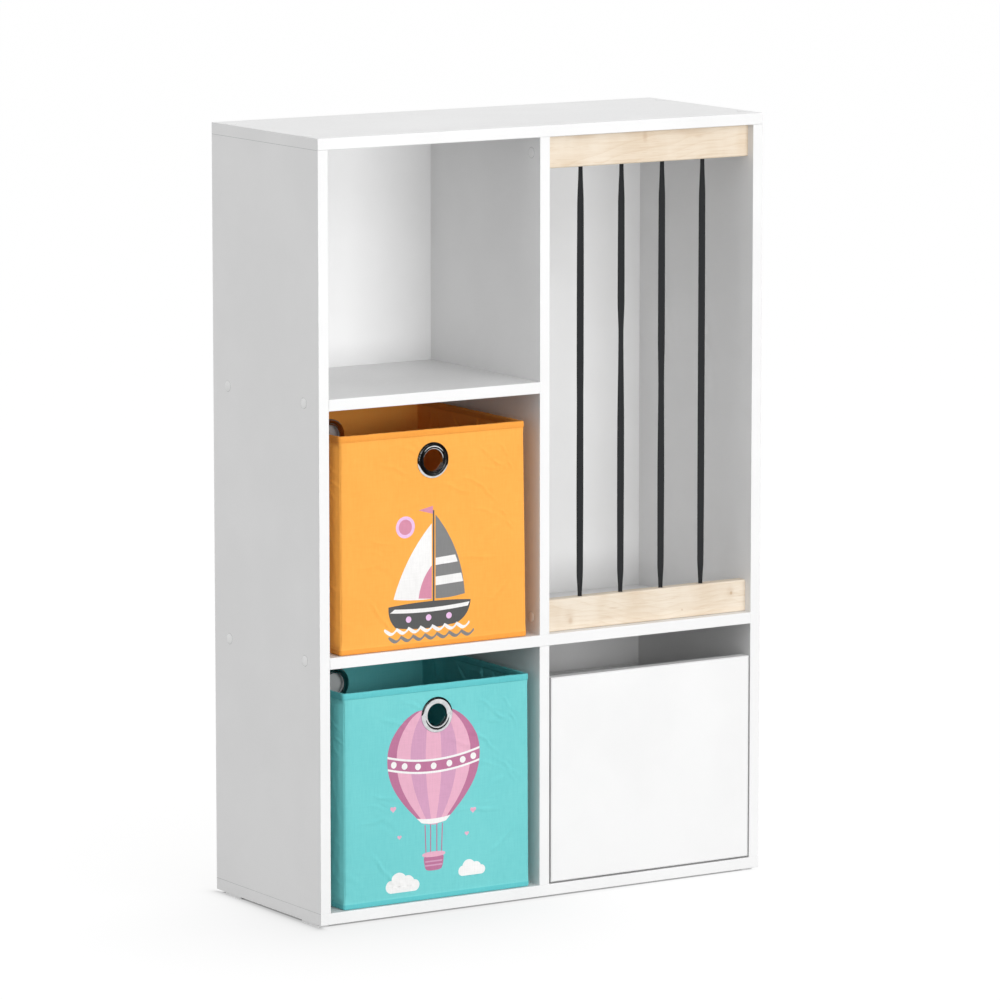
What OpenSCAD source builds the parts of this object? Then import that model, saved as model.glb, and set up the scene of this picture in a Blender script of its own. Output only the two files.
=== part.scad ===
// Soft-toy shelf for a nursery: two columns of cube bays, three rows high.
// The upper right bays are joined into one tall bay that four elastic straps close off.
// A drawer fills the lower right bay and two fabric boxes stand in the left ones.
// X runs to the right, Y to the back and Z up. The origin is on the floor, in the middle.

/* [Carcass] */
// Outside width of the carcass
unit_w = 720; // [640:1:900]
// Depth of the boards, without the back panel
board_d = 285; // [260:1:360]
// Clear height of one row of bays
row_h = 336; // [300:1:400]
// Thickness of the carcass boards
board_t = 16; // [15:0.5:20]
// Rounding of the banded front edges
edge_r = 1; // [0.4:0.1:2]
// Thickness of the back panel
back_t = 3; // [2:0.5:6]
// Margin from the carcass outline to the back panel
back_inset = 2; // [1:0.5:5]

/* [Floor glides] */
// Length of a glide, front to back
glide_l = 44; // [30:1:60]
// Width of a glide
glide_w = 20; // [14:1:24]
// Height of a glide, which is the gap under the carcass
glide_h = 4; // [3:0.5:10]
// Corner radius of a glide
glide_r = 4; // [1:0.5:6]
// Distance from the front edge to the front glides
glide_from_front = 12; // [5:1:24]
// Distance from the boards' rear edge to the rear glides
glide_from_back = 20; // [5:1:30]
// Distance from the side face to a glide
glide_from_side = 1; // [0.5:0.5:5]

/* [Screws and dowels] */
// Distance of the shelf and top screws from the front and the rear edges
screw_inset = 40; // [36:1:60]
// Distance of the screws under the bottom board from its edges
bottom_screw_inset = 80; // [72:1:100]
// Length of an assembly screw
screw_l = 50; // [40:1:60]
// Diameter of a screw's thread
screw_d = 6.4; // [5:0.1:7]
// Diameter of a screw's head
head_d = 9.6; // [8:0.1:11]
// Depth of the head's seat, from the board's face to its floor
head_seat = 3.4; // [2.5:0.1:5]
// Height of a screw's head
head_h = 2.6; // [1.5:0.1:2.8]
// Width across the flats of the head's hex socket
socket_w = 4; // [3:0.5:5]
// Depth of the head's hex socket
socket_depth = 1.6; // [1:0.1:2]
// Diameter of a screw cover cap
cap_d = 14.5; // [12.5:0.5:16]
// Height of a screw cover cap
cap_h = 0.9; // [0.5:0.1:2]
// Diameter of a dowel
dowel_d = 8; // [6:0.5:9]
// Depth of a dowel in the end of a divider
dowel_in_end = 18; // [12:1:25]
// Depth of a dowel in the face of the top board
dowel_in_face = 11; // [8:0.5:12]
// Distance of the divider dowels from the front and the rear edges
dowel_inset = 60; // [52:1:90]
// Radial play of a screw or a dowel in its hole
hole_play = 0.1; // [0.05:0.05:0.3]

/* [Rails and straps] */
// Height of a wooden rail
rail_h = 45; // [36:1:60]
// Thickness of a wooden rail
rail_t = 18; // [16:1:25]
// Distance of the rails behind the front edges
rail_setback = 13.5; // [5:0.5:30]
// Rounding of the rails' long edges
rail_r = 2.5; // [1:0.5:5]
// Width of an elastic strap
strap_w = 10; // [8:0.5:16]
// Thickness of an elastic strap
strap_t = 1.2; // [0.8:0.1:2]
// Width of a strap where it is gathered into its hole
gather_w = 5.1; // [4:0.1:7]
// Thickness of a strap where it is gathered into its hole
gather_t = 2.4; // [2:0.1:4]
// Length of the pleats below the top rail
gather_top = 55; // [30:1:90]
// Length of the pleats above the bottom rail
gather_bottom = 35; // [20:1:90]
// Share of its width that a strap has regained where the pleats end
open_share = 0.8; // [0.5:0.05:1]
// Length over which it regains the rest
slow_gather = 170; // [90:1:220]
// Diameter of the strap holes in the rails
strap_hole_d = 8; // [7.5:0.5:10]
// Distance of the row of straps from the bay's centre line, towards the divider
strap_shift = 3.2; // [0:0.1:10]
// Diameter of the knot at a strap's end
knot_d = 12; // [10.5:0.5:13]
// Height of the knot
knot_h = 9; // [6:0.5:12]
// Diameter of the pocket that holds a knot
pocket_d = 14; // [13.5:0.5:15]
// Depth of the pocket that holds a knot
pocket_depth = 15; // [13:1:20]
// Turn of the second strap at its partial twist, in degrees
twist_turn = 20; // [0:1:45]
// Height of that twist's tightest point above the bottom rail
twist_z = 362; // [250:1:440]
// Length of a twist below its tightest point
twist_below = 150; // [60:1:200]
// Length of a twist above its tightest point
twist_above = 48; // [30:1:80]

/* [Drawer] */
// Gap on each side of the drawer front
front_gap = 2.8; // [1.5:0.1:5]
// Gap under the drawer front
front_lift = 2.4; // [1.5:0.1:5]
// Gap above the drawer front, where a hand reaches in
grip_gap = 45.5; // [35:0.5:70]
// Thickness of the drawer front and the drawer's rear board
front_t = 16; // [15:0.5:20]
// Thickness of the drawer sides
drawer_side_t = 12; // [10:0.5:16]
// Height of the drawer sides
drawer_side_h = 228; // [190:1:250]
// Height of the drawer's body above the bottom board
drawer_lift = 10; // [7:0.5:14]
// Gap between a drawer side and the bay's wall, filled by the runner
runner_gap = 15; // [13:0.5:18]
// Gap between the drawer's rear board and the back panel
drawer_rear_gap = 4; // [2:0.5:10]
// Thickness of the drawer's bottom panel
bottom_t = 3; // [2.5:0.5:5]
// Height of the bottom panel above the sides' lower edges
bottom_rise = 10; // [6:0.5:16]
// Depth of the groove that holds the bottom panel
groove_depth = 6; // [4:0.5:8]
// Play of the bottom panel in its groove
groove_play = 0.2; // [0.1:0.05:0.5]
// Diameter of the drawer's dowels
drawer_dowel_d = 6; // [5:0.5:8]
// Distance of the drawer's dowels from the sides' lower and upper edges
drawer_dowel_inset = 36; // [30:1:50]
// Depth of a drawer dowel in the drawer front
drawer_dowel_in_front = 10; // [8:0.5:12]
// Depth of a drawer dowel in the end of a board
drawer_dowel_in_end = 18; // [12:1:25]
// Wood left behind the dowel hole in a drawer side
drawer_dowel_cover = 4; // [2:0.5:5]

/* [Runners] */
// Length of the runners
runner_l = 250; // [220:1:252]
// Distance of the runners behind the front edges
runner_from_front = 22; // [21:1:24]
// Height of the channel, outside
channel_h = 22; // [18:1:26]
// Depth of the channel, from the bay's wall
channel_d = 11.5; // [10:0.5:11.5]
// Sheet thickness of the channel
sheet_t = 1.2; // [0.8:0.1:1.5]
// Height of the channel above the bottom board
channel_z = 30; // [16:1:60]
// Thickness of the tongue's mounting strip on the drawer side
strip_t = 2; // [1:0.5:2.5]
// Height of the tongue's mounting strip
strip_h = 30; // [28:1:40]
// Play of the tongue in the channel
tongue_play = 0.3; // [0.2:0.1:0.6]

/* [Fabric boxes] */
// Thickness of a box wall: card between two layers of fabric
wall_t = 3; // [2:0.5:5]
// Gap above a box, up to the shelf
box_top_gap = 36; // [20:1:60]
// Gap between a box's rear eyelet and the back panel
box_back_gap = 0.6; // [0.4:0.1:10]
// Distance of a box behind the front edges
box_setback = 4; // [3.6:0.1:15]
// Clearance under a box
box_lift = 0.3; // [0.2:0.1:1]
// Gap to the left of the orange box
orange_gap_left = 18.5; // [5:0.5:40]
// Gap to the right of the orange box
orange_gap_right = 23; // [5:0.5:40]
// Gap to the left of the turquoise box
turquoise_gap_left = 23; // [5:0.5:40]
// Gap to the right of the turquoise box
turquoise_gap_right = 16; // [5:0.5:40]
// Thickness of the sewn-in base
base_t = 3; // [2:0.5:5]
// Thickness of the loose base board
base_board_t = 2.5; // [1.5:0.5:5]
// Play around the loose base board
base_board_play = 1; // [0.3:0.1:3]
// Corner radius of the box walls
box_r = 1.4; // [0.5:0.1:1.4]
// Height of the bound rim
rim_h = 8; // [5:0.5:15]
// Thickness of the rim's binding
rim_t = 0.8; // [0.5:0.1:1.5]
// Distance of an eyelet's centre below the rim
eyelet_z = 43; // [36:0.5:80]
// Outer diameter of an eyelet
eyelet_d = 50; // [44:0.5:55]
// Diameter of an eyelet's finger hole
eyelet_hole_d = 30.5; // [24:0.5:34]
// Height of an eyelet's domed ring
eyelet_dome = 2.6; // [1.5:0.1:3.2]
// Wall of an eyelet's barrel
barrel_t = 1; // [0.6:0.1:1.5]
// Thickness of an eyelet's inner washer
washer_t = 1; // [0.6:0.1:2]
// Diameter of an eyelet's inner washer
washer_d = 48; // [40:0.5:50]
// Play of an eyelet's barrel in the box wall
barrel_play = 0.1; // [0.05:0.05:0.3]

/* [Hidden] */
$fn = 48;

// A cut runs this far past the face that it opens
over = 1;

// Colours
white_board = "#F6F6F5";
white_plastic = "#EFEFEC";
birch = "#F0DDC2";
elastic_grey = "#333436";
zinc = "#B9BCC0";
chrome = "#C9CCD0";
orange_cloth = "#FDB550";
orange_trim = "#F9A043";
turquoise_cloth = "#7CD8D8";
turquoise_trim = "#64C6CA";

// Heights of the boards
floor_z = glide_h + board_t;
middle_z = floor_z + row_h;
lower_row_z = middle_z + board_t;
shelf_z = lower_row_z + row_h;
upper_row_z = shelf_z + board_t;
top_z = upper_row_z + row_h;
unit_h = top_z + board_t;
side_h = top_z - floor_z;

// Depths: the front edges, the boards' rear edges and the back
front_y = -(board_d + back_t) / 2;
rear_y = front_y + board_d;

// Widths: the walls of the left and the right bays
wall_x = unit_w / 2 - board_t;
divider_x = board_t / 2;
bay_w = wall_x - divider_x;
side_mid_x = unit_w / 2 - board_t / 2;

// Flat angles that turn a screw's axis out of the face that it enters
up = [0, 0, 0];
down = [180, 0, 0];
left = [0, -90, 0];
right = [0, 90, 0];

// Places of the screws, each as its point on the board's face and the way that the head looks
edge_y = [front_y + screw_inset, rear_y - screw_inset];
under_y = [front_y + bottom_screw_inset, rear_y - bottom_screw_inset];
middle_mid_z = middle_z + board_t / 2;
shelf_mid_z = shelf_z + board_t / 2;
rail_y = front_y + rail_setback + rail_t / 2;
rail_mid_z = [lower_row_z + rail_h / 2, top_z - rail_h / 2];
top_screws = [for (x = [-side_mid_x, side_mid_x], y = edge_y) [[x, y, unit_h], up]];
bottom_screws = [for (x = [-side_mid_x, 0, side_mid_x], y = under_y) [[x, y, glide_h], down]];
left_screws = [for (y = edge_y, z = [middle_mid_z, shelf_mid_z]) [[-unit_w / 2, y, z], left]];
right_screws = [for (y = edge_y) [[unit_w / 2, y, middle_mid_z], right]];
right_rail_screws = [for (z = rail_mid_z) [[unit_w / 2, rail_y, z], right]];
divider_rail_screws = [for (z = rail_mid_z) [[-divider_x, rail_y, z], left]];
divider_shelf_screws = [for (y = edge_y) [[divider_x, y, shelf_mid_z], right]];
capped_screws = concat(top_screws, left_screws, right_screws, right_rail_screws,
                       divider_rail_screws, divider_shelf_screws);
all_screws = concat(capped_screws, bottom_screws);

// Places of the divider's dowels
dowel_y = [front_y + dowel_inset, rear_y - dowel_inset];
dowel_end_play = 0.5;

// Places and heights along a strap
strap_pitch = bay_w / 5;
bottom_rail_top = lower_row_z + rail_h;
top_rail_bottom = top_z - rail_h;
knot_play = 0.3;
low_knot_z = lower_row_z + pocket_depth - knot_play - knot_h / 2;
high_knot_z = top_z - pocket_depth + knot_play + knot_h / 2;
strap_sides = 12;
knot_rings = 6;
gather_rings = 5;
middle_rings = 22;

// Each strap's share of the turn, and how far lower than the second strap's its twist sits
twist_share = [0.25, 1, 0.6, 0];
twist_drop = [86, 0, 65, 0];

// Places of the drawer's boards
drawer_front_w = bay_w - 2 * front_gap;
drawer_front_h = row_h - front_lift - grip_gap;
drawer_z = floor_z + drawer_lift;
drawer_back_y = front_y + front_t;
drawer_end_y = rear_y - drawer_rear_gap;
drawer_side_l = drawer_end_y - drawer_back_y;
drawer_left_x = divider_x + runner_gap;
drawer_right_x = wall_x - runner_gap;
drawer_inner_w = drawer_right_x - drawer_left_x - 2 * drawer_side_t;
drawer_mid_x = (divider_x + wall_x) / 2;
groove_z = drawer_z + bottom_rise;
groove_h = bottom_t + 2 * groove_play;
drawer_dowel_z = [drawer_z + drawer_dowel_inset, drawer_z + drawer_side_h - drawer_dowel_inset];
drawer_dowel_in_wall = drawer_side_t - drawer_dowel_cover;

// The boxes: left and right face, underside
orange_box = [-wall_x + orange_gap_left, -divider_x - orange_gap_right, lower_row_z + box_lift];
turquoise_box = [-wall_x + turquoise_gap_left, -divider_x - turquoise_gap_right, floor_z + box_lift];
box_h = row_h - box_top_gap - box_lift;
box_front_y = front_y + box_setback;
box_d = board_d - box_setback - eyelet_dome - box_back_gap;
barrel_r = eyelet_hole_d / 2 + barrel_t;
eyelet_steps = 9;

// A strap's width, thickness and turn follow its height
function smooth(s) = let (k = min(max(s, 0), 1)) k * k * (3 - 2 * k);
function knot_bulge(z, mid) = knot_d * sqrt(max(0, 1 - pow(2 * (z - mid) / knot_h, 2)));
function knots(z) = max(knot_bulge(z, low_knot_z), knot_bulge(z, high_knot_z));
function opened(h, pleats) = open_share * smooth(h / pleats) + (1 - open_share) * smooth(h / slow_gather);
function spread(z) = opened(z - bottom_rail_top, gather_bottom) * opened(top_rail_bottom - z, gather_top);
function strap_width(z) = max(knots(z), gather_w + (strap_w - gather_w) * spread(z));
function strap_depth(z) = max(knots(z), gather_t + (strap_t - gather_t) * spread(z));
function twist_at(i, z) = let (h = z - bottom_rail_top - twist_z + twist_drop[i - 1])
    twist_turn * twist_share[i - 1] * smooth(h < 0 ? 1 + h / twist_below : 1 - h / twist_above);
function steps(from, to, n) = [for (i = [0:n - 1]) from + (to - from) * i / n];
strap_heights = concat(
    steps(low_knot_z - knot_h / 2, low_knot_z + knot_h / 2, knot_rings),
    steps(low_knot_z + knot_h / 2, bottom_rail_top, 2),
    steps(bottom_rail_top, bottom_rail_top + gather_bottom, gather_rings),
    steps(bottom_rail_top + gather_bottom, top_rail_bottom - gather_top, middle_rings),
    steps(top_rail_bottom - gather_top, top_rail_bottom, gather_rings),
    steps(top_rail_bottom, high_knot_z - knot_h / 2, 2),
    steps(high_knot_z - knot_h / 2, high_knot_z + knot_h / 2, knot_rings),
    [high_knot_z + knot_h / 2]
);

// One ring of a strap's skin: a flat section with full edges, turned about the strap's line
function squared(v) = sign(v) * pow(abs(v), 0.55);
function strap_ring(z, turn) = [
    for (i = [0:strap_sides - 1])
        let (a = 360 * i / strap_sides,
             u = strap_width(z) / 2 * squared(cos(a)),
             v = strap_depth(z) / 2 * squared(sin(a)))
        [u * cos(turn) - v * sin(turn), u * sin(turn) + v * cos(turn), z]
];

// ---- Shapes used by several pieces ----

// Outline of a board across its banded edge: the front edge is at x = 0 and is rounded
module banded_outline(depth, thick) {
    translate([edge_r, 0]) square([depth - edge_r, thick]);
    translate([0, edge_r]) square([depth, thick - 2 * edge_r]);
    for (y = [edge_r, thick - edge_r])
        translate([edge_r, y]) circle(r = edge_r);
}

// Rectangle with round corners, from the origin
module round_rect(w, d, r) {
    translate([r, 0]) square([w - 2 * r, d]);
    translate([0, r]) square([w, d - 2 * r]);
    for (x = [r, w - r], y = [r, d - r])
        translate([x, y]) circle(r = r);
}

module flat_board(x, z, length) {
    translate([x, front_y, z]) rotate([90, 0, 90])
        linear_extrude(length) banded_outline(board_d, board_t);
}

module upright_board(x, z, height) {
    translate([x + board_t, front_y, z]) rotate([0, 0, 90])
        linear_extrude(height) banded_outline(board_d, board_t);
}

// Puts its children at a screw's place, with Z out of the board
module at(places) {
    for (p = places)
        translate(p[0]) rotate(p[1]) children();
}

module screw_hole() {
    translate([0, 0, -head_seat]) cylinder(d = head_d + 2 * hole_play, h = head_seat + over);
    translate([0, 0, -screw_l - dowel_end_play])
        cylinder(d = screw_d + 2 * hole_play, h = screw_l + dowel_end_play);
}

module screw() {
    difference() {
        union() {
            translate([0, 0, -head_seat]) cylinder(d = head_d, h = head_h);
            translate([0, 0, -screw_l]) cylinder(d = screw_d, h = screw_l - head_seat);
        }
        translate([0, 0, -head_seat + head_h - socket_depth])
            cylinder(d = socket_w / cos(30), h = socket_depth + over, $fn = 6);
    }
}

// A flat cap with a rounded rim
module cap() {
    rotate_extrude()
        polygon([[0, 0], [cap_d / 2, 0], [cap_d / 2, cap_h * 0.4],
                 [cap_d / 2 - cap_h * 0.3, cap_h * 0.8], [cap_d / 2 - cap_h, cap_h], [0, cap_h]]);
}

// ---- Carcass ----

module top_board() {
    color(white_board) difference() {
        flat_board(-unit_w / 2, top_z, unit_w);
        at(top_screws) screw_hole();
        dowel_holes(top_z, 0, dowel_in_face);
    }
}

module bottom_board() {
    color(white_board) difference() {
        flat_board(-unit_w / 2, glide_h, unit_w);
        at(bottom_screws) screw_hole();
    }
}

module left_side() {
    color(white_board) difference() {
        upright_board(-unit_w / 2, floor_z, side_h);
        at(concat(top_screws, bottom_screws, left_screws)) screw_hole();
    }
}

module right_side() {
    color(white_board) difference() {
        upright_board(wall_x, floor_z, side_h);
        at(concat(top_screws, bottom_screws, right_screws, right_rail_screws)) screw_hole();
    }
}

module upper_divider() {
    color(white_board) difference() {
        upright_board(-divider_x, lower_row_z, top_z - lower_row_z);
        at(concat(divider_rail_screws, divider_shelf_screws)) screw_hole();
        dowel_holes(top_z, dowel_in_end, 0);
        dowel_holes(lower_row_z, 0, dowel_in_end);
    }
}

module lower_divider() {
    color(white_board) difference() {
        upright_board(-divider_x, floor_z, row_h);
        at(bottom_screws) screw_hole();
        dowel_holes(middle_z, dowel_in_end, 0);
    }
}

module middle_shelf() {
    color(white_board) difference() {
        flat_board(-wall_x, middle_z, 2 * wall_x);
        at(concat(left_screws, right_screws)) screw_hole();
        dowel_holes(middle_z, 0, board_t);
    }
}

module upper_shelf() {
    color(white_board) difference() {
        flat_board(-wall_x, shelf_z, bay_w);
        at(concat(left_screws, divider_shelf_screws)) screw_hole();
    }
}

module back_panel() {
    color(white_board)
        translate([-unit_w / 2 + back_inset, rear_y, glide_h + back_inset])
            cube([unit_w - 2 * back_inset, back_t, unit_h - glide_h - 2 * back_inset]);
}

module floor_glides() {
    glide_x = [-unit_w / 2 + glide_from_side, unit_w / 2 - glide_from_side - glide_w];
    glide_y = [front_y + glide_from_front, rear_y - glide_from_back - glide_l];
    color(white_plastic)
        for (x = glide_x, y = glide_y)
            translate([x, y, 0]) linear_extrude(glide_h) round_rect(glide_w, glide_l, glide_r);
}

module carcass_screws() {
    color(zinc) at(all_screws) screw();
}

module screw_caps() {
    color(white_plastic) at(capped_screws) cap();
}

// Holes for the divider's dowels, from a joint's height down into one board and up into the other
module dowel_holes(z, below, above) {
    for (y = dowel_y)
        translate([0, y, z - below - (below > 0 ? dowel_end_play : over)])
            cylinder(d = dowel_d + 2 * hole_play,
                     h = below + above + (below > 0 ? dowel_end_play : over) + (above > 0 ? dowel_end_play : over));
}

module divider_dowels() {
    color(birch)
        for (y = dowel_y) {
            translate([0, y, top_z - dowel_in_end])
                cylinder(d = dowel_d, h = dowel_in_end + dowel_in_face);
            translate([0, y, middle_z - dowel_in_end])
                cylinder(d = dowel_d, h = board_t + 2 * dowel_in_end);
        }
}

// ---- Rails and straps of the tall bay ----

function strap_x(i) = divider_x + i * strap_pitch - strap_shift;

// pocket is 1 for a pocket on top of the rail and 0 for one underneath
module rail(z, screws, pocket) {
    color(birch) difference() {
        translate([divider_x, rail_y - rail_t / 2, z]) rotate([90, 0, 90])
            linear_extrude(bay_w) round_rect(rail_t, rail_h, rail_r);
        at(screws) screw_hole();
        for (i = [1:4])
            translate([strap_x(i), rail_y, z]) {
                translate([0, 0, -over]) cylinder(d = strap_hole_d, h = rail_h + 2 * over);
                translate([0, 0, pocket * (rail_h - pocket_depth + over) - over])
                    cylinder(d = pocket_d, h = pocket_depth + over);
            }
    }
}

module top_rail() {
    rail(top_rail_bottom, concat([divider_rail_screws[1]], [right_rail_screws[1]]), 1);
}

module bottom_rail() {
    rail(lower_row_z, concat([divider_rail_screws[0]], [right_rail_screws[0]]), 0);
}

// An elastic strap from knot to knot. i is its number from the left.
module strap(i) {
    n = strap_sides;
    last = len(strap_heights) - 1;
    points = [for (z = strap_heights) each strap_ring(z, twist_at(i, z))];
    sides = [for (r = [0:last - 1], k = [0:n - 1])
        let (a = r * n + k, b = r * n + (k + 1) % n)
        each [[a, a + n, b], [b, a + n, b + n]]];
    low_end = [for (k = [0:n - 1]) k];
    high_end = [for (k = [n - 1:-1:0]) last * n + k];
    color(elastic_grey) translate([strap_x(i), rail_y, 0])
        polyhedron(points = points, faces = concat(sides, [low_end], [high_end]), convexity = 4);
}

module strap_1() { strap(1); }
module strap_2() { strap(2); }
module strap_3() { strap(3); }
module strap_4() { strap(4); }

// ---- Drawer and its runners ----

// A steel channel on a wall of the bay. side is 1 for a channel that opens to the right.
module channel(x, side) {
    color(white_plastic)
        translate([x, front_y + runner_from_front + runner_l, floor_z + channel_z])
            rotate([90, 0, 0]) linear_extrude(runner_l) mirror([side > 0 ? 0 : 1, 0]) difference() {
                square([channel_d, channel_h]);
                translate([sheet_t, sheet_t]) square([channel_d, channel_h - 2 * sheet_t]);
            }
}

module channel_left() { channel(divider_x, 1); }
module channel_right() { channel(wall_x, -1); }

// A plastic tongue on a drawer side, which slides in the channel
module tongue(x, side) {
    tongue_z = sheet_t + tongue_play;
    tongue_reach = runner_gap - sheet_t - 2 * tongue_play;
    color(white_plastic)
        translate([x, front_y + runner_from_front + runner_l, floor_z + channel_z])
            rotate([90, 0, 0]) linear_extrude(runner_l) mirror([side > 0 ? 0 : 1, 0]) {
                translate([0, (channel_h - strip_h) / 2]) square([strip_t, strip_h]);
                translate([0, tongue_z]) square([tongue_reach, channel_h - 2 * tongue_z]);
            }
}

module tongue_left() { tongue(drawer_left_x, -1); }
module tongue_right() { tongue(drawer_right_x, 1); }

// The groove that runs around the drawer for its bottom panel
module bottom_groove() {
    translate([drawer_left_x + drawer_side_t - groove_depth, drawer_back_y - groove_depth, groove_z])
        cube([drawer_inner_w + 2 * groove_depth, drawer_side_l - front_t + 2 * groove_depth, groove_h]);
}

// Dowels between front and sides, and between sides and rear board
module drawer_dowel_rods(play) {
    rod = drawer_dowel_d + 2 * play;
    mid_y = drawer_end_y - front_t / 2;
    for (z = drawer_dowel_z, side = [-1, 1])
        translate([drawer_mid_x + side * (drawer_inner_w + drawer_side_t) / 2, 0, z]) {
            translate([0, drawer_back_y - drawer_dowel_in_front - play, 0]) rotate([-90, 0, 0])
                cylinder(d = rod, h = drawer_dowel_in_front + drawer_dowel_in_end + 2 * play);
            translate([side * (drawer_dowel_in_wall - drawer_side_t / 2), mid_y, 0])
                rotate([0, -side * 90, 0]) translate([0, 0, -play])
                    cylinder(d = rod, h = drawer_dowel_in_wall + drawer_dowel_in_end + 2 * play);
        }
}

module drawer_front() {
    color(white_board) difference() {
        translate([divider_x + front_gap, front_y, floor_z + front_lift]) rotate([90, 0, 90])
            linear_extrude(drawer_front_w) {
                translate([edge_r, 0]) square([front_t - edge_r, drawer_front_h]);
                translate([0, edge_r]) square([front_t, drawer_front_h - 2 * edge_r]);
                for (z = [edge_r, drawer_front_h - edge_r])
                    translate([edge_r, z]) circle(r = edge_r);
            }
        bottom_groove();
        drawer_dowel_rods(hole_play);
    }
}

module drawer_side(x) {
    color(white_board) difference() {
        translate([x, drawer_back_y, drawer_z]) cube([drawer_side_t, drawer_side_l, drawer_side_h]);
        bottom_groove();
        drawer_dowel_rods(hole_play);
    }
}

module drawer_left() { drawer_side(drawer_left_x); }
module drawer_right() { drawer_side(drawer_right_x - drawer_side_t); }

module drawer_rear() {
    color(white_board) difference() {
        translate([drawer_left_x + drawer_side_t, drawer_end_y - front_t, drawer_z])
            cube([drawer_inner_w, front_t, drawer_side_h]);
        bottom_groove();
        drawer_dowel_rods(hole_play);
    }
}

module drawer_bottom() {
    edge = groove_depth - groove_play;
    color(white_board)
        translate([drawer_left_x + drawer_side_t - edge, drawer_back_y - edge, groove_z + groove_play])
            cube([drawer_inner_w + 2 * edge, drawer_side_l - front_t + 2 * edge, bottom_t]);
}

module drawer_dowels() {
    color(birch) drawer_dowel_rods(0);
}

// ---- Fabric boxes ----

// Hole for an eyelet's barrel, along Y
module barrel_hole(b) {
    translate([(b[0] + b[1]) / 2, box_front_y - over, b[2] + box_h - eyelet_z]) rotate([-90, 0, 0])
        cylinder(r = barrel_r + barrel_play, h = box_d + 2 * over);
}

module end_wall(b, y, tint) {
    color(tint) difference() {
        translate([b[0], y, b[2]])
            linear_extrude(box_h - rim_t) round_rect(b[1] - b[0], wall_t, box_r);
        barrel_hole(b);
    }
}

module side_wall(b, x, tint) {
    color(tint) translate([x, box_front_y + wall_t, b[2]])
        cube([wall_t, box_d - 2 * wall_t, box_h - rim_t]);
}

module box_base(b, tint) {
    color(tint) translate([b[0] + wall_t, box_front_y + wall_t, b[2]])
        cube([b[1] - b[0] - 2 * wall_t, box_d - 2 * wall_t, base_t]);
}

module base_board(b, tint) {
    edge = wall_t + base_board_play;
    color(tint) translate([b[0] + edge, box_front_y + edge, b[2] + base_t])
        cube([b[1] - b[0] - 2 * edge, box_d - 2 * edge, base_board_t]);
}

// A binding folded over the walls' top edges
module rim(b, tint) {
    w = b[1] - b[0];
    inner = wall_t + rim_t;
    color(tint) translate([b[0], box_front_y, b[2] + box_h - rim_h]) difference() {
        translate([-rim_t, -rim_t, 0])
            linear_extrude(rim_h) round_rect(w + 2 * rim_t, box_d + 2 * rim_t, box_r + rim_t);
        translate([inner, inner, -over]) cube([w - 2 * inner, box_d - 2 * inner, rim_h + 2 * over]);
        difference() {
            translate([0, 0, -over]) cube([w, box_d, rim_h - rim_t + over]);
            translate([wall_t, wall_t, -2 * over])
                cube([w - 2 * wall_t, box_d - 2 * wall_t, rim_h + 2 * over]);
        }
    }
}

// An eyelet: a domed ring outside, a barrel through the wall and a washer inside.
// Z points out of the box.
module eyelet_ring() {
    hole_r = eyelet_hole_d / 2;
    mid_r = (eyelet_d / 2 + hole_r) / 2;
    half_w = (eyelet_d / 2 - hole_r) / 2;
    rotate_extrude() polygon(concat(
        [for (i = [0:eyelet_steps])
            let (a = 180 * i / eyelet_steps) [mid_r + half_w * cos(a), eyelet_dome * sin(a)]],
        [[hole_r, -wall_t - washer_t], [washer_d / 2 - washer_t, -wall_t - washer_t],
         [washer_d / 2, -wall_t], [barrel_r, -wall_t], [barrel_r, 0]]));
}

// side is -1 for the front wall and 1 for the rear wall
module eyelet(b, side) {
    color(chrome)
        translate([(b[0] + b[1]) / 2, side < 0 ? box_front_y : box_front_y + box_d, b[2] + box_h - eyelet_z])
            rotate([-side * 90, 0, 0]) eyelet_ring();
}

module orange_front() { end_wall(orange_box, box_front_y, orange_cloth); }
module orange_rear() { end_wall(orange_box, box_front_y + box_d - wall_t, orange_cloth); }
module orange_left() { side_wall(orange_box, orange_box[0], orange_cloth); }
module orange_right() { side_wall(orange_box, orange_box[1] - wall_t, orange_cloth); }
module orange_base() { box_base(orange_box, orange_cloth); }
module orange_board() { base_board(orange_box, orange_trim); }
module orange_rim() { rim(orange_box, orange_trim); }
module orange_eyelet_front() { eyelet(orange_box, -1); }
module orange_eyelet_rear() { eyelet(orange_box, 1); }

module turquoise_front() { end_wall(turquoise_box, box_front_y, turquoise_cloth); }
module turquoise_rear() { end_wall(turquoise_box, box_front_y + box_d - wall_t, turquoise_cloth); }
module turquoise_left() { side_wall(turquoise_box, turquoise_box[0], turquoise_cloth); }
module turquoise_right() { side_wall(turquoise_box, turquoise_box[1] - wall_t, turquoise_cloth); }
module turquoise_base() { box_base(turquoise_box, turquoise_cloth); }
module turquoise_board() { base_board(turquoise_box, turquoise_trim); }
module turquoise_rim() { rim(turquoise_box, turquoise_trim); }
module turquoise_eyelet_front() { eyelet(turquoise_box, -1); }
module turquoise_eyelet_rear() { eyelet(turquoise_box, 1); }

top_board();
bottom_board();
left_side();
right_side();
upper_divider();
lower_divider();
middle_shelf();
upper_shelf();
back_panel();
floor_glides();
carcass_screws();
screw_caps();
divider_dowels();
top_rail();
bottom_rail();
strap_1();
strap_2();
strap_3();
strap_4();
channel_left();
channel_right();
drawer_front();
drawer_left();
drawer_right();
drawer_rear();
drawer_bottom();
drawer_dowels();
tongue_left();
tongue_right();
orange_front();
orange_rear();
orange_left();
orange_right();
orange_base();
orange_board();
orange_rim();
orange_eyelet_front();
orange_eyelet_rear();
turquoise_front();
turquoise_rear();
turquoise_left();
turquoise_right();
turquoise_base();
turquoise_board();
turquoise_rim();
turquoise_eyelet_front();
turquoise_eyelet_rear();
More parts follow.
